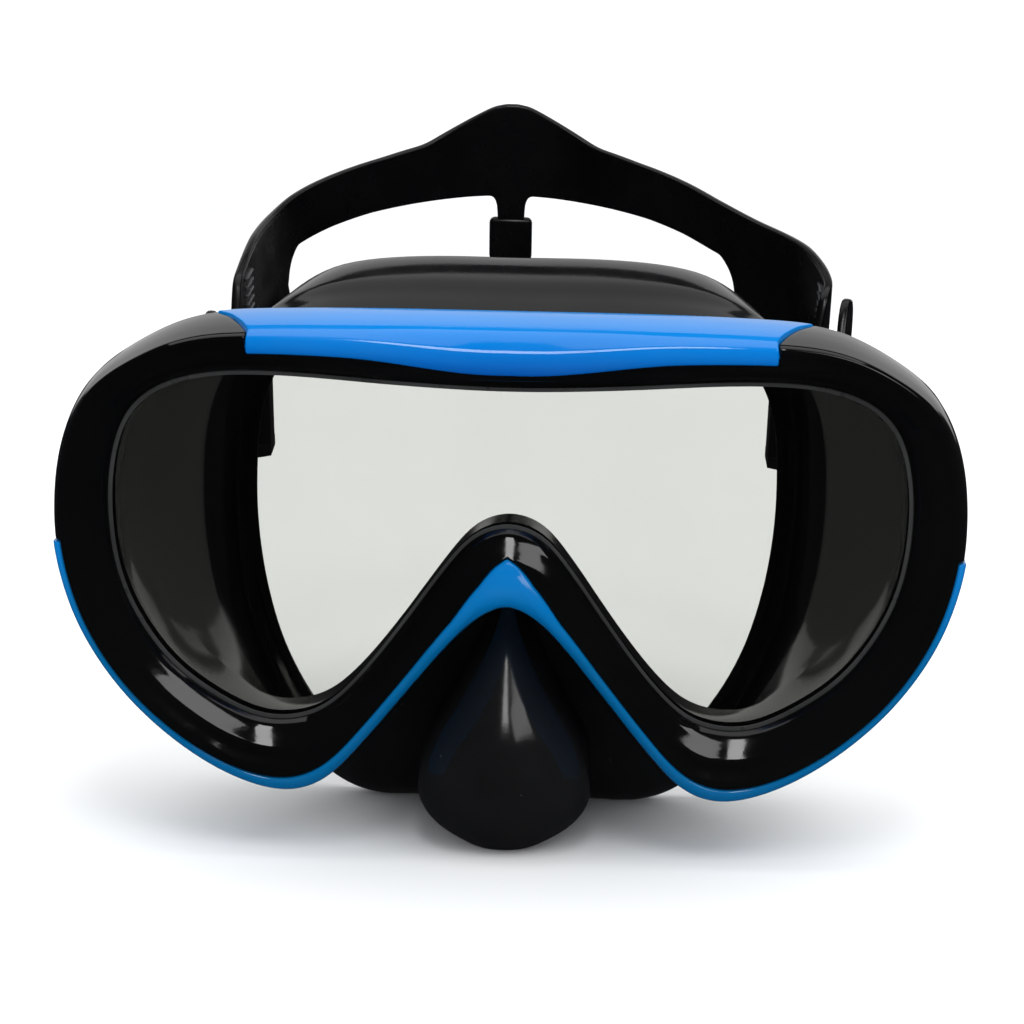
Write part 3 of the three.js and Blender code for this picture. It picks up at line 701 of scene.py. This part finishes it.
def make_brow():
    station = TABLE_STATIONS
    width = frame_width(station)
    low, ridge = brow_low(station)
    centre = 1 - smoothstep(np.abs(signed(station)), 0.5, 1.6)
    keys = [
        at_depth(low * width + 0.15, -3.6),
        at_depth(low * width + 0.15, -5.2),
        at_depth(lerp(low, ridge, 0.45) * width, -5.95 - 0.2 * centre),
        at_depth(ridge * width + 0.3, -6.1),
        at_depth(0.74 * width + 0.7, -3.0),
        at_depth(0.84 * width + 0.65, 1.0),
        at_depth(0.94 * width + 0.5, 6.5),
        at_depth(width + 0.3, FRAME_DEPTH),
        at_depth(width - 2.1, FRAME_DEPTH),
        at_depth(0.84 * width - 1.2, 2.0),
        at_depth(ridge * width - 2.0, -3.4),
    ]
    radii = [0.1, 0.7, 1.4, 1.0, 2.0, 3.0, 3.0, 0.5, 0.4, 0.5, 0.5]
    sections = rounded(keys, radii, closed=True, steps=8)
    normals = section_normals(sections, closed=True)
    points, outward = lay(sections, normals, station)
    shift = end_shift(points)
    last = BROW_COLUMN - SEAM_GAP / BROW_STATION_MM
    column, inset = end_columns(-last, last, 150, BROW_STATION_MM)
    spot = warped(points, column, shift)
    lifted = warped(outward, column, shift)
    return capped_sweep("brow_band", spot, lifted, inset)


def make_lower_trim():
    station = TABLE_STATIONS
    width = frame_width(station)
    raw = crown_sections(station)
    edge = trim_edge(np.maximum(half_station(station), TRIM_START))
    lengths = run_lengths(raw)
    normals_raw = section_normals(raw, closed=False)
    rows = 44
    front = np.zeros((rows, len(station), 2))
    for c in range(len(station)):
        start = np.interp(edge[c] * width[c], raw[:, c, 0], lengths[:, c]) + SEAM_GAP
        run = np.linspace(start, lengths[-1, c] - 0.3, rows)
        spot = at_run(run, lengths[:, c], raw[:, c])
        lift = at_run(run, lengths[:, c], normals_raw[:, c])
        reach = np.minimum(1, (run - start) / 4.5)
        inward = np.sqrt(np.clip(1 - (1 - np.minimum(1, (run - start) / 0.5)) ** 2, 0, 1))
        proud = 0.28 * inward + 0.22 * np.sin(np.pi * reach) - 0.25 * (1 - inward)
        front[:, c] = spot + lift * proud[:, None]
    rear = rounded(
        [
            front[-1],
            at_depth(width + 0.15, FRAME_DEPTH),
            at_depth(width - TRIM_WALL, FRAME_DEPTH),
            at_depth(width - TRIM_WALL, TRIM_FLOOR),
            at_depth(edge * width + SEAM_GAP, TRIM_FLOOR),
            front[0],
        ],
        [0, 0.5, 0.4, 0.3, 0.1, 0],
        closed=False,
        steps=CORNER_ROWS,
    )[1:-1]
    sections = np.concatenate([front, rear])
    normals = section_normals(sections, closed=True)
    points, outward = lay(sections, normals, station)
    first = TRIM_START + SEAM_GAP / LOWER_STATION_MM
    column, inset = end_columns(first, RING - first, 420, LOWER_STATION_MM)
    spot = np.array([along(row, column) for row in points])
    lifted = np.array([along(row, column) for row in outward])
    return capped_sweep("lower_band", spot, lifted, inset)


def outline_points(share, extra, depth):
    station = np.linspace(0, RING, RING * 10, endpoint=False)
    width = frame_width(station)
    return across_frame(station, share * width + extra, depth)


def loft(name, rails):
    """Closed rails joined in turn, with a flat cap at both ends."""
    rings = np.array(rails)
    count = rings.shape[1]
    faces = grid_faces(len(rings), count, False, True)
    faces.append(list(range(count)))
    faces.append([(len(rings) - 1) * count + i for i in reversed(range(count))])
    return new_object(name, to_row(rings), faces)


def make_lens():
    front = [(-0.5, 0.0), (-0.12, 0.12), (0, 0.5)]
    rear = [(extra, LENS_THICKNESS - depth) for extra, depth in reversed(front)]
    lens = loft("lens_glass", [outline_points(LENS_EDGE, *rail) for rail in front + rear])
    sharpen(lens, 20)
    return lens


def make_gasket():
    """The thin edge of the rubber between the lens and the bezel, coloured pale grey as a painted
    highlight for the light line that its edge reflects.
    """
    keys = [(0.02, 0, -0.25), (0, -0.75, -0.2), (0, -0.75, 0.0), (0.04, 0, 0.0)]
    radii = [0.05, 0.12, 0.02, 0.02]
    station = np.arange(0, RING, 1 / 12)
    width = frame_width(station)
    corners = [at_depth(share * width + mm, depth) for share, mm, depth in keys]
    sections = rounded(corners, radii, closed=True, steps=5)
    points = lay(sections, np.zeros_like(sections), station)[0]
    faces = grid_faces(len(sections), len(station), True, True)
    return new_object("lens_gasket", to_row(points), faces)


# ---- Skirt ----

# The wall from the neck to the rear edge: share of the way out by share of the way back.
WALL = np.array([
    (0, 0), (0.12, 0.17), (0.3, 0.52), (0.45, 0.74), (0.6, 0.88), (0.75, 0.965), (0.88, 1),
])
# The nose pocket: height, half width and depth of its front.
POCKET_LEVELS = [
    (-10, 2.6, 12.0), (-14, 3.4, 9.6), (-18, 4.8, 5.5), (-25, 7.8, 0.5), (-31, 10.8, -3.6),
    (-37, 14.2, -7), (-43, 16.6, -8.2), (-48.5, 17.2, -7.2), (-52, 16.6, -5.2), (-55, 15.2, -2.8),
    (-57.6, 13.2, 0), (-60, 10, 3.4), (-64, 2.5, 10.0),
]
POCKET_BACK = 41.0


def wall_rail(station, back, out, inward, lift=0.0):
    """A rail part of the way back from the frame to the skirt's rear edge."""
    neck = across_frame(station, NECK_SHARE * frame_width(station) - inward, SKIRT_NECK)
    edge = along(SKIRT_LINE, station)
    outward = outward_at(station)
    points = lerp(neck, edge - outward * inward, out) + outward * lift
    points[..., 1] = lerp(SKIRT_NECK, edge[..., 1], back)
    return points


def face_rail(start, station, inward, forward):
    """A rail on the skirt's face, inward from a line and forward of the rear edge."""
    edge = along(SKIRT_LINE, station)
    toward = along(LIP_LINE, station) - edge
    toward[..., 1] = 0
    points = along(start, station) + unit(toward) * inward
    points[..., 1] = edge[..., 1] - forward
    return points


def edge_rail(station, inset, forward):
    return face_rail(SKIRT_LINE, station, inset, forward)


def lip_rail(station, forward, grow=0.0):
    return face_rail(LIP_LINE, station, -grow, forward)


def pocket(name, inward):
    """The nose pocket as a stack of rounded levels."""
    levels, halves, fronts = np.array(sorted(POCKET_LEVELS), float).T
    height = np.concatenate([np.linspace(-10, -52, 36), np.linspace(-53, -64, 16)])
    half = softened_table(height, levels, halves, 2, 9)
    front = softened_table(height, levels, fronts, 2, 9)
    angle = np.radians(np.linspace(0, -180, 41))
    rings = []
    for z, across, near in zip(height, half, front):
        z = z + inward * smoothstep(-z, 48, 60)
        across = max(0.6, across - inward)
        x = across * np.sign(np.cos(angle)) * np.abs(np.cos(angle)) ** 0.92
        y = near + inward + 16 + 16 * np.sin(angle)
        nose = np.stack([x, y, np.full_like(x, z)], -1)
        rear = POCKET_BACK - 0.4 * inward
        back = np.array([(-across, rear, z), (across, rear, z)])
        rings.append(np.concatenate([nose, back]))
    return loft(name, rings)


def make_skirt():
    station = np.linspace(0, RING, RING * 6, endpoint=False)
    width = frame_width(station)
    at_top = 1 - smoothstep(half_station(station), 1.9, 3.6)

    def band(back):
        """The raised forehead band on the outside."""
        rise = smoothstep(back, 0.42, 0.5) * (1 - smoothstep(back, 0.84, 0.94))
        return (0.9 * rise * at_top)[:, None]

    backs = np.linspace(0.03, 0.9, 30)
    outs = np.interp(backs, WALL[:, 0], WALL[:, 1])
    outs = np.convolve(np.pad(outs, 2, mode="edge"), np.ones(5) / 5, mode="valid")
    outside = [
        across_frame(station, LENS_EDGE * width, 4.5),
        across_frame(station, LENS_EDGE * width, 7.5),
        across_frame(station, NECK_SHARE * width, BEZEL_REAR),
        across_frame(station, NECK_SHARE * width, SKIRT_NECK - 0.8),
        *[wall_rail(station, b, o, 0, band(b)) for b, o in zip(backs, outs)],
        edge_rail(station, 0.1, 2.6),
        edge_rail(station, 0.3, 1.5),
        edge_rail(station, 0.9, 0.6),
        edge_rail(station, 2.0, 0.1),
        lip_rail(station, 0.6, 2.5),
        lip_rail(station, 1.5),
    ]
    inside = [
        across_frame(station, -0.03 * width, 2.0),
        across_frame(station, -0.03 * width, SKIRT_NECK),
        *[wall_rail(station, b, o, SKIRT_WALL) for b, o in zip(backs[2:], outs[2:])],
        edge_rail(station, SKIRT_WALL + 0.4, 4.6),
        edge_rail(station, SKIRT_WALL + 1.4, 3.4),
        edge_rail(station, SKIRT_WALL + 3.0, 2.8),
        lip_rail(station, 3.4, 1.5),
        lip_rail(station, 3.0, 0.0),
        lip_rail(station, -5.0, 0.0),
    ]
    skirt = loft("skirt_rubber", outside)
    combine(skirt, [pocket("nose_outside", 0)], "UNION")
    hollow = combine(loft("face_inside", inside), [pocket("nose_inside", SKIRT_WALL)], "UNION")
    combine(skirt, [hollow], "DIFFERENCE")
    plan = ((-90, -20), (90, -20), (90, 70), (-90, 70))
    below = new_object(
        "below_floor",
        to_row([(x, y, z) for z in (-90, -STAND_HEIGHT) for x, y in plan]),
        [[0, 1, 2, 3], [4, 5, 6, 7], [0, 1, 5, 4], [1, 2, 6, 5], [2, 3, 7, 6], [3, 0, 4, 7]],
    )
    combine(skirt, [below], "DIFFERENCE")
    spot = np.zeros(len(skirt.data.vertices) * 3)
    skirt.data.vertices.foreach_get("co", spot)
    spot = spot.reshape(-1, 3)
    spot[:, 2] = np.maximum(spot[:, 2], 0.0)
    skirt.data.vertices.foreach_set("co", spot.ravel())
    tidy_mesh(skirt, weld=1e-6)
    sharpen(skirt, 50)
    return skirt


# ---- Strap ----

STRAP_HALF_WIDTH = 63.0
STRAP_STRAIGHT = 40.0  # where the straight sides end
STRAP_ROUND = 88.0  # half axis of the round back
STRAP_RISE = 6.0
STRAP_LEAN = 5.4
STRAP_BULGE = 4.5
TAB_HALF = 10.8
LEFT_TAB_LIFT = 8.0
RIGHT_TAB_LIFT = 1.5
TURN = 3.2
ROLLER = (66.2, 17.0)
LEVER_PIVOT = (68.0, 8.2)
# Half heights of the band and of its window, by degrees round the back.
BAND_HALF = [
    (0, 15.8), (7, 17.8), (14, 19), (27, 19.6), (35, 20.8), (46, 22.2), (60, 23.8), (70, 25.6),
    (76, 29), (82, 32.4), (86, 34.6), (90, 35.4),
]
WINDOW_HALF = [
    (31.0, 0), (31.15, 1.6), (31.6, 3.4), (32.4, 5.2), (33.6, 6.9), (35, 8.2), (46, 9.5),
    (56, 10.3), (80, 11.2), (85.2, 11.3), (86.0, 10.9), (86.5, 9.8), (86.9, 8.0), (87.0, 0),
]
PEAK_HALF = 35.1
RIB_PLACE = 48.0
RIB_PITCH = 2.0
RIBS = 12


def round_point(degrees):
    angle = math.radians(degrees)
    across = STRAP_HALF_WIDTH * math.cos(angle)
    return across, STRAP_STRAIGHT + STRAP_ROUND * math.sin(angle)


def leaned(path):
    """The soft band's back leans to one side and its left side bows out."""
    path = path.copy()
    x, y = path[:, 0], path[:, 1]
    bow = smoothstep(y, 28, 46) * (1 - smoothstep(y, 62, 95))
    path[:, 0] = x - STRAP_LEAN * smoothstep(y, 45, 100) + np.where(x > 0, STRAP_BULGE * bow, 0)
    return path


def strap_columns(lift):
    """The band's path from its pull tab to the middle of the back: x, y, half height of the
    band, half height of its window and height of its middle line. lift tilts the pull tab."""
    tab = [(68.2, 41.6, 3.0), (68.2, 41.45, 5.6), (68.2, 41.1, 8.0), (68.25, 40.4, 10.3),
           (68.3, 39.4, 12.1), (68.4, 38.0, 13.4), (68.5, 36.4, 14.2), (68.6, 34.6, 14.5),
           (68.9, 32, 13.9), (69.05, 30, 13.0), (69.2, 28, 11.9), (69.4, 25.4, 10.9)]
    columns = [(x, y, half, 0.0, lift * smoothstep(y, 24, 40)) for x, y, half in tab]
    columns.append((69.4, 21.5, TAB_HALF, 0.0, 0.0))
    for angle in np.radians(np.linspace(0, -180, 19)):
        x, y = ROLLER[0] + TURN * math.cos(angle), ROLLER[1] + TURN * math.sin(angle)
        columns.append((x, y, TAB_HALF, 0.0, 0.0))
    for y in (22, 27, 31, 33, 34, 35, 36, 37, 38, 39):
        flare = smoothstep(y, 31, 40.5)
        half = lerp(TAB_HALF, BAND_HALF[0][1], flare)
        columns.append((STRAP_HALF_WIDTH, y, half, 0.0, STRAP_RISE * flare))
    keys, halves = zip(*BAND_HALF)
    window_keys, window_halves = zip(*WINDOW_HALF)
    angles = set(np.linspace(0.7, 30, 22)) | set(np.linspace(36, 84, 34)) | set(window_keys)
    for degrees in sorted(angles | {88.0, 89.0}):
        x, y = round_point(degrees)
        half = softened_table(degrees, keys, halves, 1.6, 7)
        open_half = np.interp(degrees, window_keys, window_halves, left=0, right=0)
        columns.append((x, y, half, open_half, STRAP_RISE))
    return columns


def strap_path():
    left, right = strap_columns(LEFT_TAB_LIFT), strap_columns(RIGHT_TAB_LIFT)
    peak = [(*round_point(90), PEAK_HALF, 0.0, STRAP_RISE)]
    return leaned(np.array(left + peak + [(-x, *rest) for x, *rest in reversed(right)]))


def make_strap():
    path = strap_path()
    shares = np.array([0, 0.06, 0.16, 0.3, 0.45, 0.6, 0.75, 0.88, 0.955, 1.0])
    upper = path[:, 3:4] + (path[:, 2:3] - path[:, 3:4]) * shares[None]
    rows = path[:, 4:5] + np.concatenate([-upper[:, ::-1], upper], axis=1)
    width = rows.shape[1]
    points = np.concatenate([np.repeat(path[:, None, :2], width, 1), rows[..., None]], -1)
    faces = [
        quad for quad in grid_faces(len(path), width, False, False)
        if quad[0] % width != len(shares) - 1
    ]
    strap = new_object("strap_band", strap_to_row(points), faces)
    modifier(strap, "SOLIDIFY", thickness=0.002, offset=0.0, use_even_offset=True)
    modifier(strap, "SUBSURF", levels=1, render_levels=1)
    apply_modifiers(strap)
    tidy_mesh(strap)
    return joined(strap, [make_pad()])


def rounded_block(name, centre, along_axis, size, width):
    """A block with rounded edges in the strap's frame, its length along along_axis in plan."""
    u = np.array([*along_axis, 0.0])
    u /= np.linalg.norm(u)
    v = np.array([-u[1], u[0], 0.0])
    w = np.array([0.0, 0.0, 1.0])
    corners = [
        np.array(centre) + a * u * size[0] / 2 + b * v * size[1] / 2 + c * w * size[2] / 2
        for a in (-1, 1) for b in (-1, 1) for c in (-1, 1)
    ]
    faces = [[0, 1, 3, 2], [4, 6, 7, 5], [0, 4, 5, 1], [2, 3, 7, 6], [0, 2, 6, 4], [1, 5, 7, 3]]
    made = new_object(name, strap_to_row(np.array(corners)), faces)
    modifier(made, "BEVEL", width=width * MM, segments=4)
    apply_modifiers(made)
    smooth_faces(made)
    return made


def make_pad():
    """The thicker pad in the middle of the bridge between the two windows."""
    return rounded_block("pad", (-STRAP_LEAN, 128.0, STRAP_RISE), (1, 0), (11.0, 3.2, 11.4), 1.4)


def make_ribs():
    """The short ribs up the inner face of both side bands, near the buckles."""
    path = strap_path()
    ribs = []
    for side in (-1, 1):
        band_side = path[np.sign(path[:, 0]) == side]
        band_side = band_side[band_side[:, 4] > STRAP_RISE - 0.01]
        order = np.argsort(band_side[:, 1])
        band = np.interp(RIB_PLACE, band_side[order, 1], band_side[order, 0])
        for step in range(RIBS):
            place = (band - side * 1.15, RIB_PLACE, STRAP_RISE - 8.0 + RIB_PITCH * step)
            ribs.append(rounded_block("rack_ribs", place, (0.03, 1), (8.0, 0.9, 0.95), 0.3))
    return joined(ribs[0], ribs[1:])


def joined(base, others):
    """Adds the others' meshes to base's and removes them."""
    with edited(base) as work:
        for other in others:
            work.from_mesh(other.data)
            bpy.data.objects.remove(other)
    return base


# ---- Buckles and other small pieces ----


def softened(name, node, width):
    """A CAD node's own shape with its coplanar faces joined and its edges rounded."""
    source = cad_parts[node]
    made = bpy.data.objects.new(name, source.data.copy())
    bpy.context.scene.collection.objects.link(made)
    with edited(made) as work:
        bmesh.ops.remove_doubles(work, verts=work.verts, dist=1e-6)
        flat = math.radians(1.0)
        bmesh.ops.dissolve_limit(work, angle_limit=flat, verts=work.verts, edges=work.edges)
    modifier(
        made, "BEVEL", width=width * MM, segments=3, limit_method="ANGLE",
        angle_limit=math.radians(40), harden_normals=False,
    )
    apply_modifiers(made)
    smooth_faces(made)
    sharpen(made, 32)
    return made


PIN_HALF = 13.8
PIN_RADIUS = 0.9
ROLLER_HALF = 11.2
ROLLER_RADIUS = 1.9
ROLLER_BORE = 1.2
ON_AXIS = 0.001  # a radius too small to see, where a solid end closes


def lathe(name, profile, radii, axis, centre, steps=72, closed=True):
    """A turned piece in the strap's frame. profile lists place along the axis and radius."""
    keys = np.array(profile, float)[:, None, :]
    outline = rounded(keys, radii, closed, 4)[:, 0]
    angle = np.linspace(0, 2 * math.pi, steps, endpoint=False)
    turned = np.stack([
        np.repeat(outline[:, 0:1], steps, 1),
        outline[:, 1:2] * np.cos(angle),
        outline[:, 1:2] * np.sin(angle),
    ], -1)
    if axis == "z":
        turned = turned[..., [1, 2, 0]]
    points = strap_to_row(turned + np.array(centre, float))
    made = new_object(name, points, grid_faces(len(outline), steps, closed, True))
    sharpen(made, 40)
    return made


def make_roller(side, sign):
    """A grooved roller that grips the band's teeth."""
    high, grooves = ROLLER_HALF, 9
    pitch = 2 * high / grooves
    profile, radii = [(-high, ROLLER_BORE)], [0.1]
    for k in range(grooves):
        low = -high + k * pitch
        ridge = [(low + share * pitch, ROLLER_RADIUS) for share in (0.12, 0.88)]
        profile += [*ridge, (low + pitch, ROLLER_RADIUS - 0.28)]
        radii += [0.15, 0.15, 0.1]
    profile[-1] = (high, ROLLER_RADIUS - 0.15)
    profile.append((high, ROLLER_BORE))
    radii.append(0.1)
    return lathe(f"grip_roller_{side}", profile, radii, "z", (sign * ROLLER[0], ROLLER[1], 0))


def make_pin(name, sign, place):
    end, radius = PIN_HALF, PIN_RADIUS
    profile = [(-end, ON_AXIS), (-end, radius), (end, radius), (end, ON_AXIS)]
    centre = (sign * place[0], place[1], 0)
    return lathe(name, profile, [0, 0.2, 0.2, 0], "z", centre, 48, False)


def make_stud(side, sign):
    """The swivel stud: a snap end inside, a shallow dimple in its outer head."""
    profile = [
        (63.3, ON_AXIS), (63.3, 2.9), (63.9, 3.5), (64.7, 3.5), (64.7, 2.7), (72.3, 2.7),
        (72.3, 5.4), (73.4, 5.4), (74.4, 4.2), (74.4, 2.2), (73.8, 1.9), (73.8, ON_AXIS),
    ]
    radii = [0, 0.3, 0.3, 0.2, 0.1, 0.1, 0.3, 0.5, 0.5, 0.2, 0.2, 0]
    mirrored = [(sign * along, radius) for along, radius in profile]
    return lathe(f"stud_{side}", mirrored, radii, "x", (0, 0, 0), 72, False)


def make_washer(side, sign):
    inner, outer = sign * 68.6, sign * 69.1
    profile = [(inner, 3), (inner, 6), (outer, 6), (outer, 3)]
    return lathe(f"washer_{side}", profile, [0.08, 0.15, 0.15, 0.08], "x", (0, 0, 0))


add_piece(make_bezel(), "mask", "gloss_black", BLACK, "front_bezel")
add_piece(make_brow(), "mask", "gloss_blue", BROW_BLUE, "brow_trim")
add_piece(make_lower_trim(), "mask", "gloss_blue", TRIM_BLUE_SHADED, "lower_trim")
add_piece(make_lens(), "mask", "glass", GLASS, "lens")
add_piece(make_gasket(), "mask", "silicone", GASKET_PAINTED_HIGHLIGHT)
add_piece(make_skirt(), "mask", "silicone", SILICONE, "skirt")
add_piece(make_strap(), "head_strap", "silicone", STRAP_RUBBER, "strap")
add_piece(make_ribs(), "head_strap", "silicone", RIB_GLINT_RUBBER)
add_piece(softened("rear_shell", "rear_frame", 0.4), "mask", "satin_black", SATIN, "rear_frame")
for side, sign in (("left", 1), ("right", -1)):
    buckle = f"buckle_{side}"
    plates = softened(buckle, f"buckle_frame_{side}", 0.45)
    pawl = softened(f"lever_{side}", f"release_lever_{side}", 0.35)
    roller = make_roller(side, sign)
    axle = make_pin(f"axle_{side}", sign, ROLLER)
    pivot = make_pin(f"lever_pivot_{side}", sign, LEVER_PIVOT)
    add_piece(plates, buckle, "satin_black", SATIN, f"buckle_frame_{side}")
    add_piece(pawl, f"lever_body_{side}", "satin_black", SATIN, f"release_lever_{side}")
    add_piece(roller, f"roller_body_{side}", "satin_black", SATIN, f"roller_{side}")
    add_piece(axle, buckle, "steel", STEEL, f"roller_pin_{side}")
    add_piece(pivot, buckle, "steel", STEEL, f"lever_pin_{side}")
    add_piece(make_stud(side, sign), "mask", "satin_black", SATIN, f"swivel_stud_{side}")
    add_piece(make_washer(side, sign), "mask", "satin_black", SATIN, f"swivel_washer_{side}")

# ---- Stage, lights and camera ----


FLOOR_RADIUS = 4.0
CAMERA_DISTANCE = 0.42


def make_floor():
    angle = np.linspace(0, 2 * math.pi, 96, endpoint=False)
    below = np.full_like(angle, -0.0002)
    rim = np.stack([FLOOR_RADIUS * np.cos(angle), FLOOR_RADIUS * np.sin(angle), below], -1)
    floor = new_object("floor", rim, [list(range(len(rim)))])
    floor.data.materials.append(floor_paper("floor_paper"))
    floor.visible_glossy = False


def make_world():
    """An even pale room that shows as nearly black in reflections, so that lamps stand out."""
    world = bpy.data.worlds.new("studio")
    bpy.context.scene.world = world
    world.use_nodes = True
    tree = world.node_tree
    tree.nodes.clear()
    out = tree.nodes.new("ShaderNodeOutputWorld")
    path = tree.nodes.new("ShaderNodeLightPath")
    mixed = tree.nodes.new("ShaderNodeMixShader")
    tree.links.new(path.outputs["Is Glossy Ray"], mixed.inputs[0])
    for socket, color, strength in ((1, (0.97, 0.985, 1, 1), 1.12), (2, (0.9, 0.95, 1, 1), 0.015)):
        room = tree.nodes.new("ShaderNodeBackground")
        room.inputs["Color"].default_value = color
        room.inputs["Strength"].default_value = strength
        tree.links.new(room.outputs[0], mixed.inputs[socket])
    tree.links.new(mixed.outputs[0], out.inputs["Surface"])


def softbox(name, place, target, size, radiance):
    """A rectangular lamp whose face glows at radiance, hidden from the camera."""
    data = bpy.data.lights.new(name, "AREA")
    data.shape = "RECTANGLE"
    data.size, data.size_y = size
    data.energy = radiance * math.pi * size[0] * size[1]
    lamp = bpy.data.objects.new(name, data)
    bpy.context.scene.collection.objects.link(lamp)
    aim = Vector(target) - Vector(place)
    lamp.rotation_euler = aim.to_track_quat("-Z", "Y").to_euler()
    lamp.location = place
    lamp.visible_camera = False


def make_camera():
    """A camera in front, a little above and to the mask's left, turned slightly."""
    azimuth, elevation, roll = math.radians(1.5), math.radians(10.5), math.radians(1.2)
    back = Vector((
        math.sin(azimuth) * math.cos(elevation),
        -math.cos(azimuth) * math.cos(elevation),
        math.sin(elevation),
    ))
    right = Vector((math.cos(azimuth), math.sin(azimuth), 0))
    up = back.cross(right)
    across = right * math.cos(roll) + up * math.sin(roll)
    above = up * math.cos(roll) - right * math.sin(roll)
    data = bpy.data.cameras.new("view")
    data.lens, data.sensor_width = 78.3, 36
    data.shift_x, data.shift_y = 0.004, 0.038
    data.clip_start = 0.01
    camera = bpy.data.objects.new("view", data)
    bpy.context.scene.collection.objects.link(camera)
    aim = Vector(to_row((0, 0, 0)))
    turn = Matrix((across, above, back)).transposed().to_4x4()
    camera.matrix_world = Matrix.Translation(aim + back * CAMERA_DISTANCE) @ turn
    bpy.context.scene.camera = camera


make_floor()
make_world()
softbox("overhead", (0, 0.15, 1.1), (0, 0, 0.05), (1.3, 0.9), 1.0)
softbox("backdrop", (0, 1.1, 0.5), (0, 0, 0.05), (1.7, 0.9), 0.6)
softbox("front_high", (0.02, -0.75, 1.0), (0, -0.08, 0.05), (0.2, 0.42), 8.0)
softbox("right_high", (0.6, -0.7, 0.95), (0, -0.08, 0.05), (0.8, 0.3), 3.2)
make_camera()
bpy.context.scene.view_settings.view_transform = "Standard"
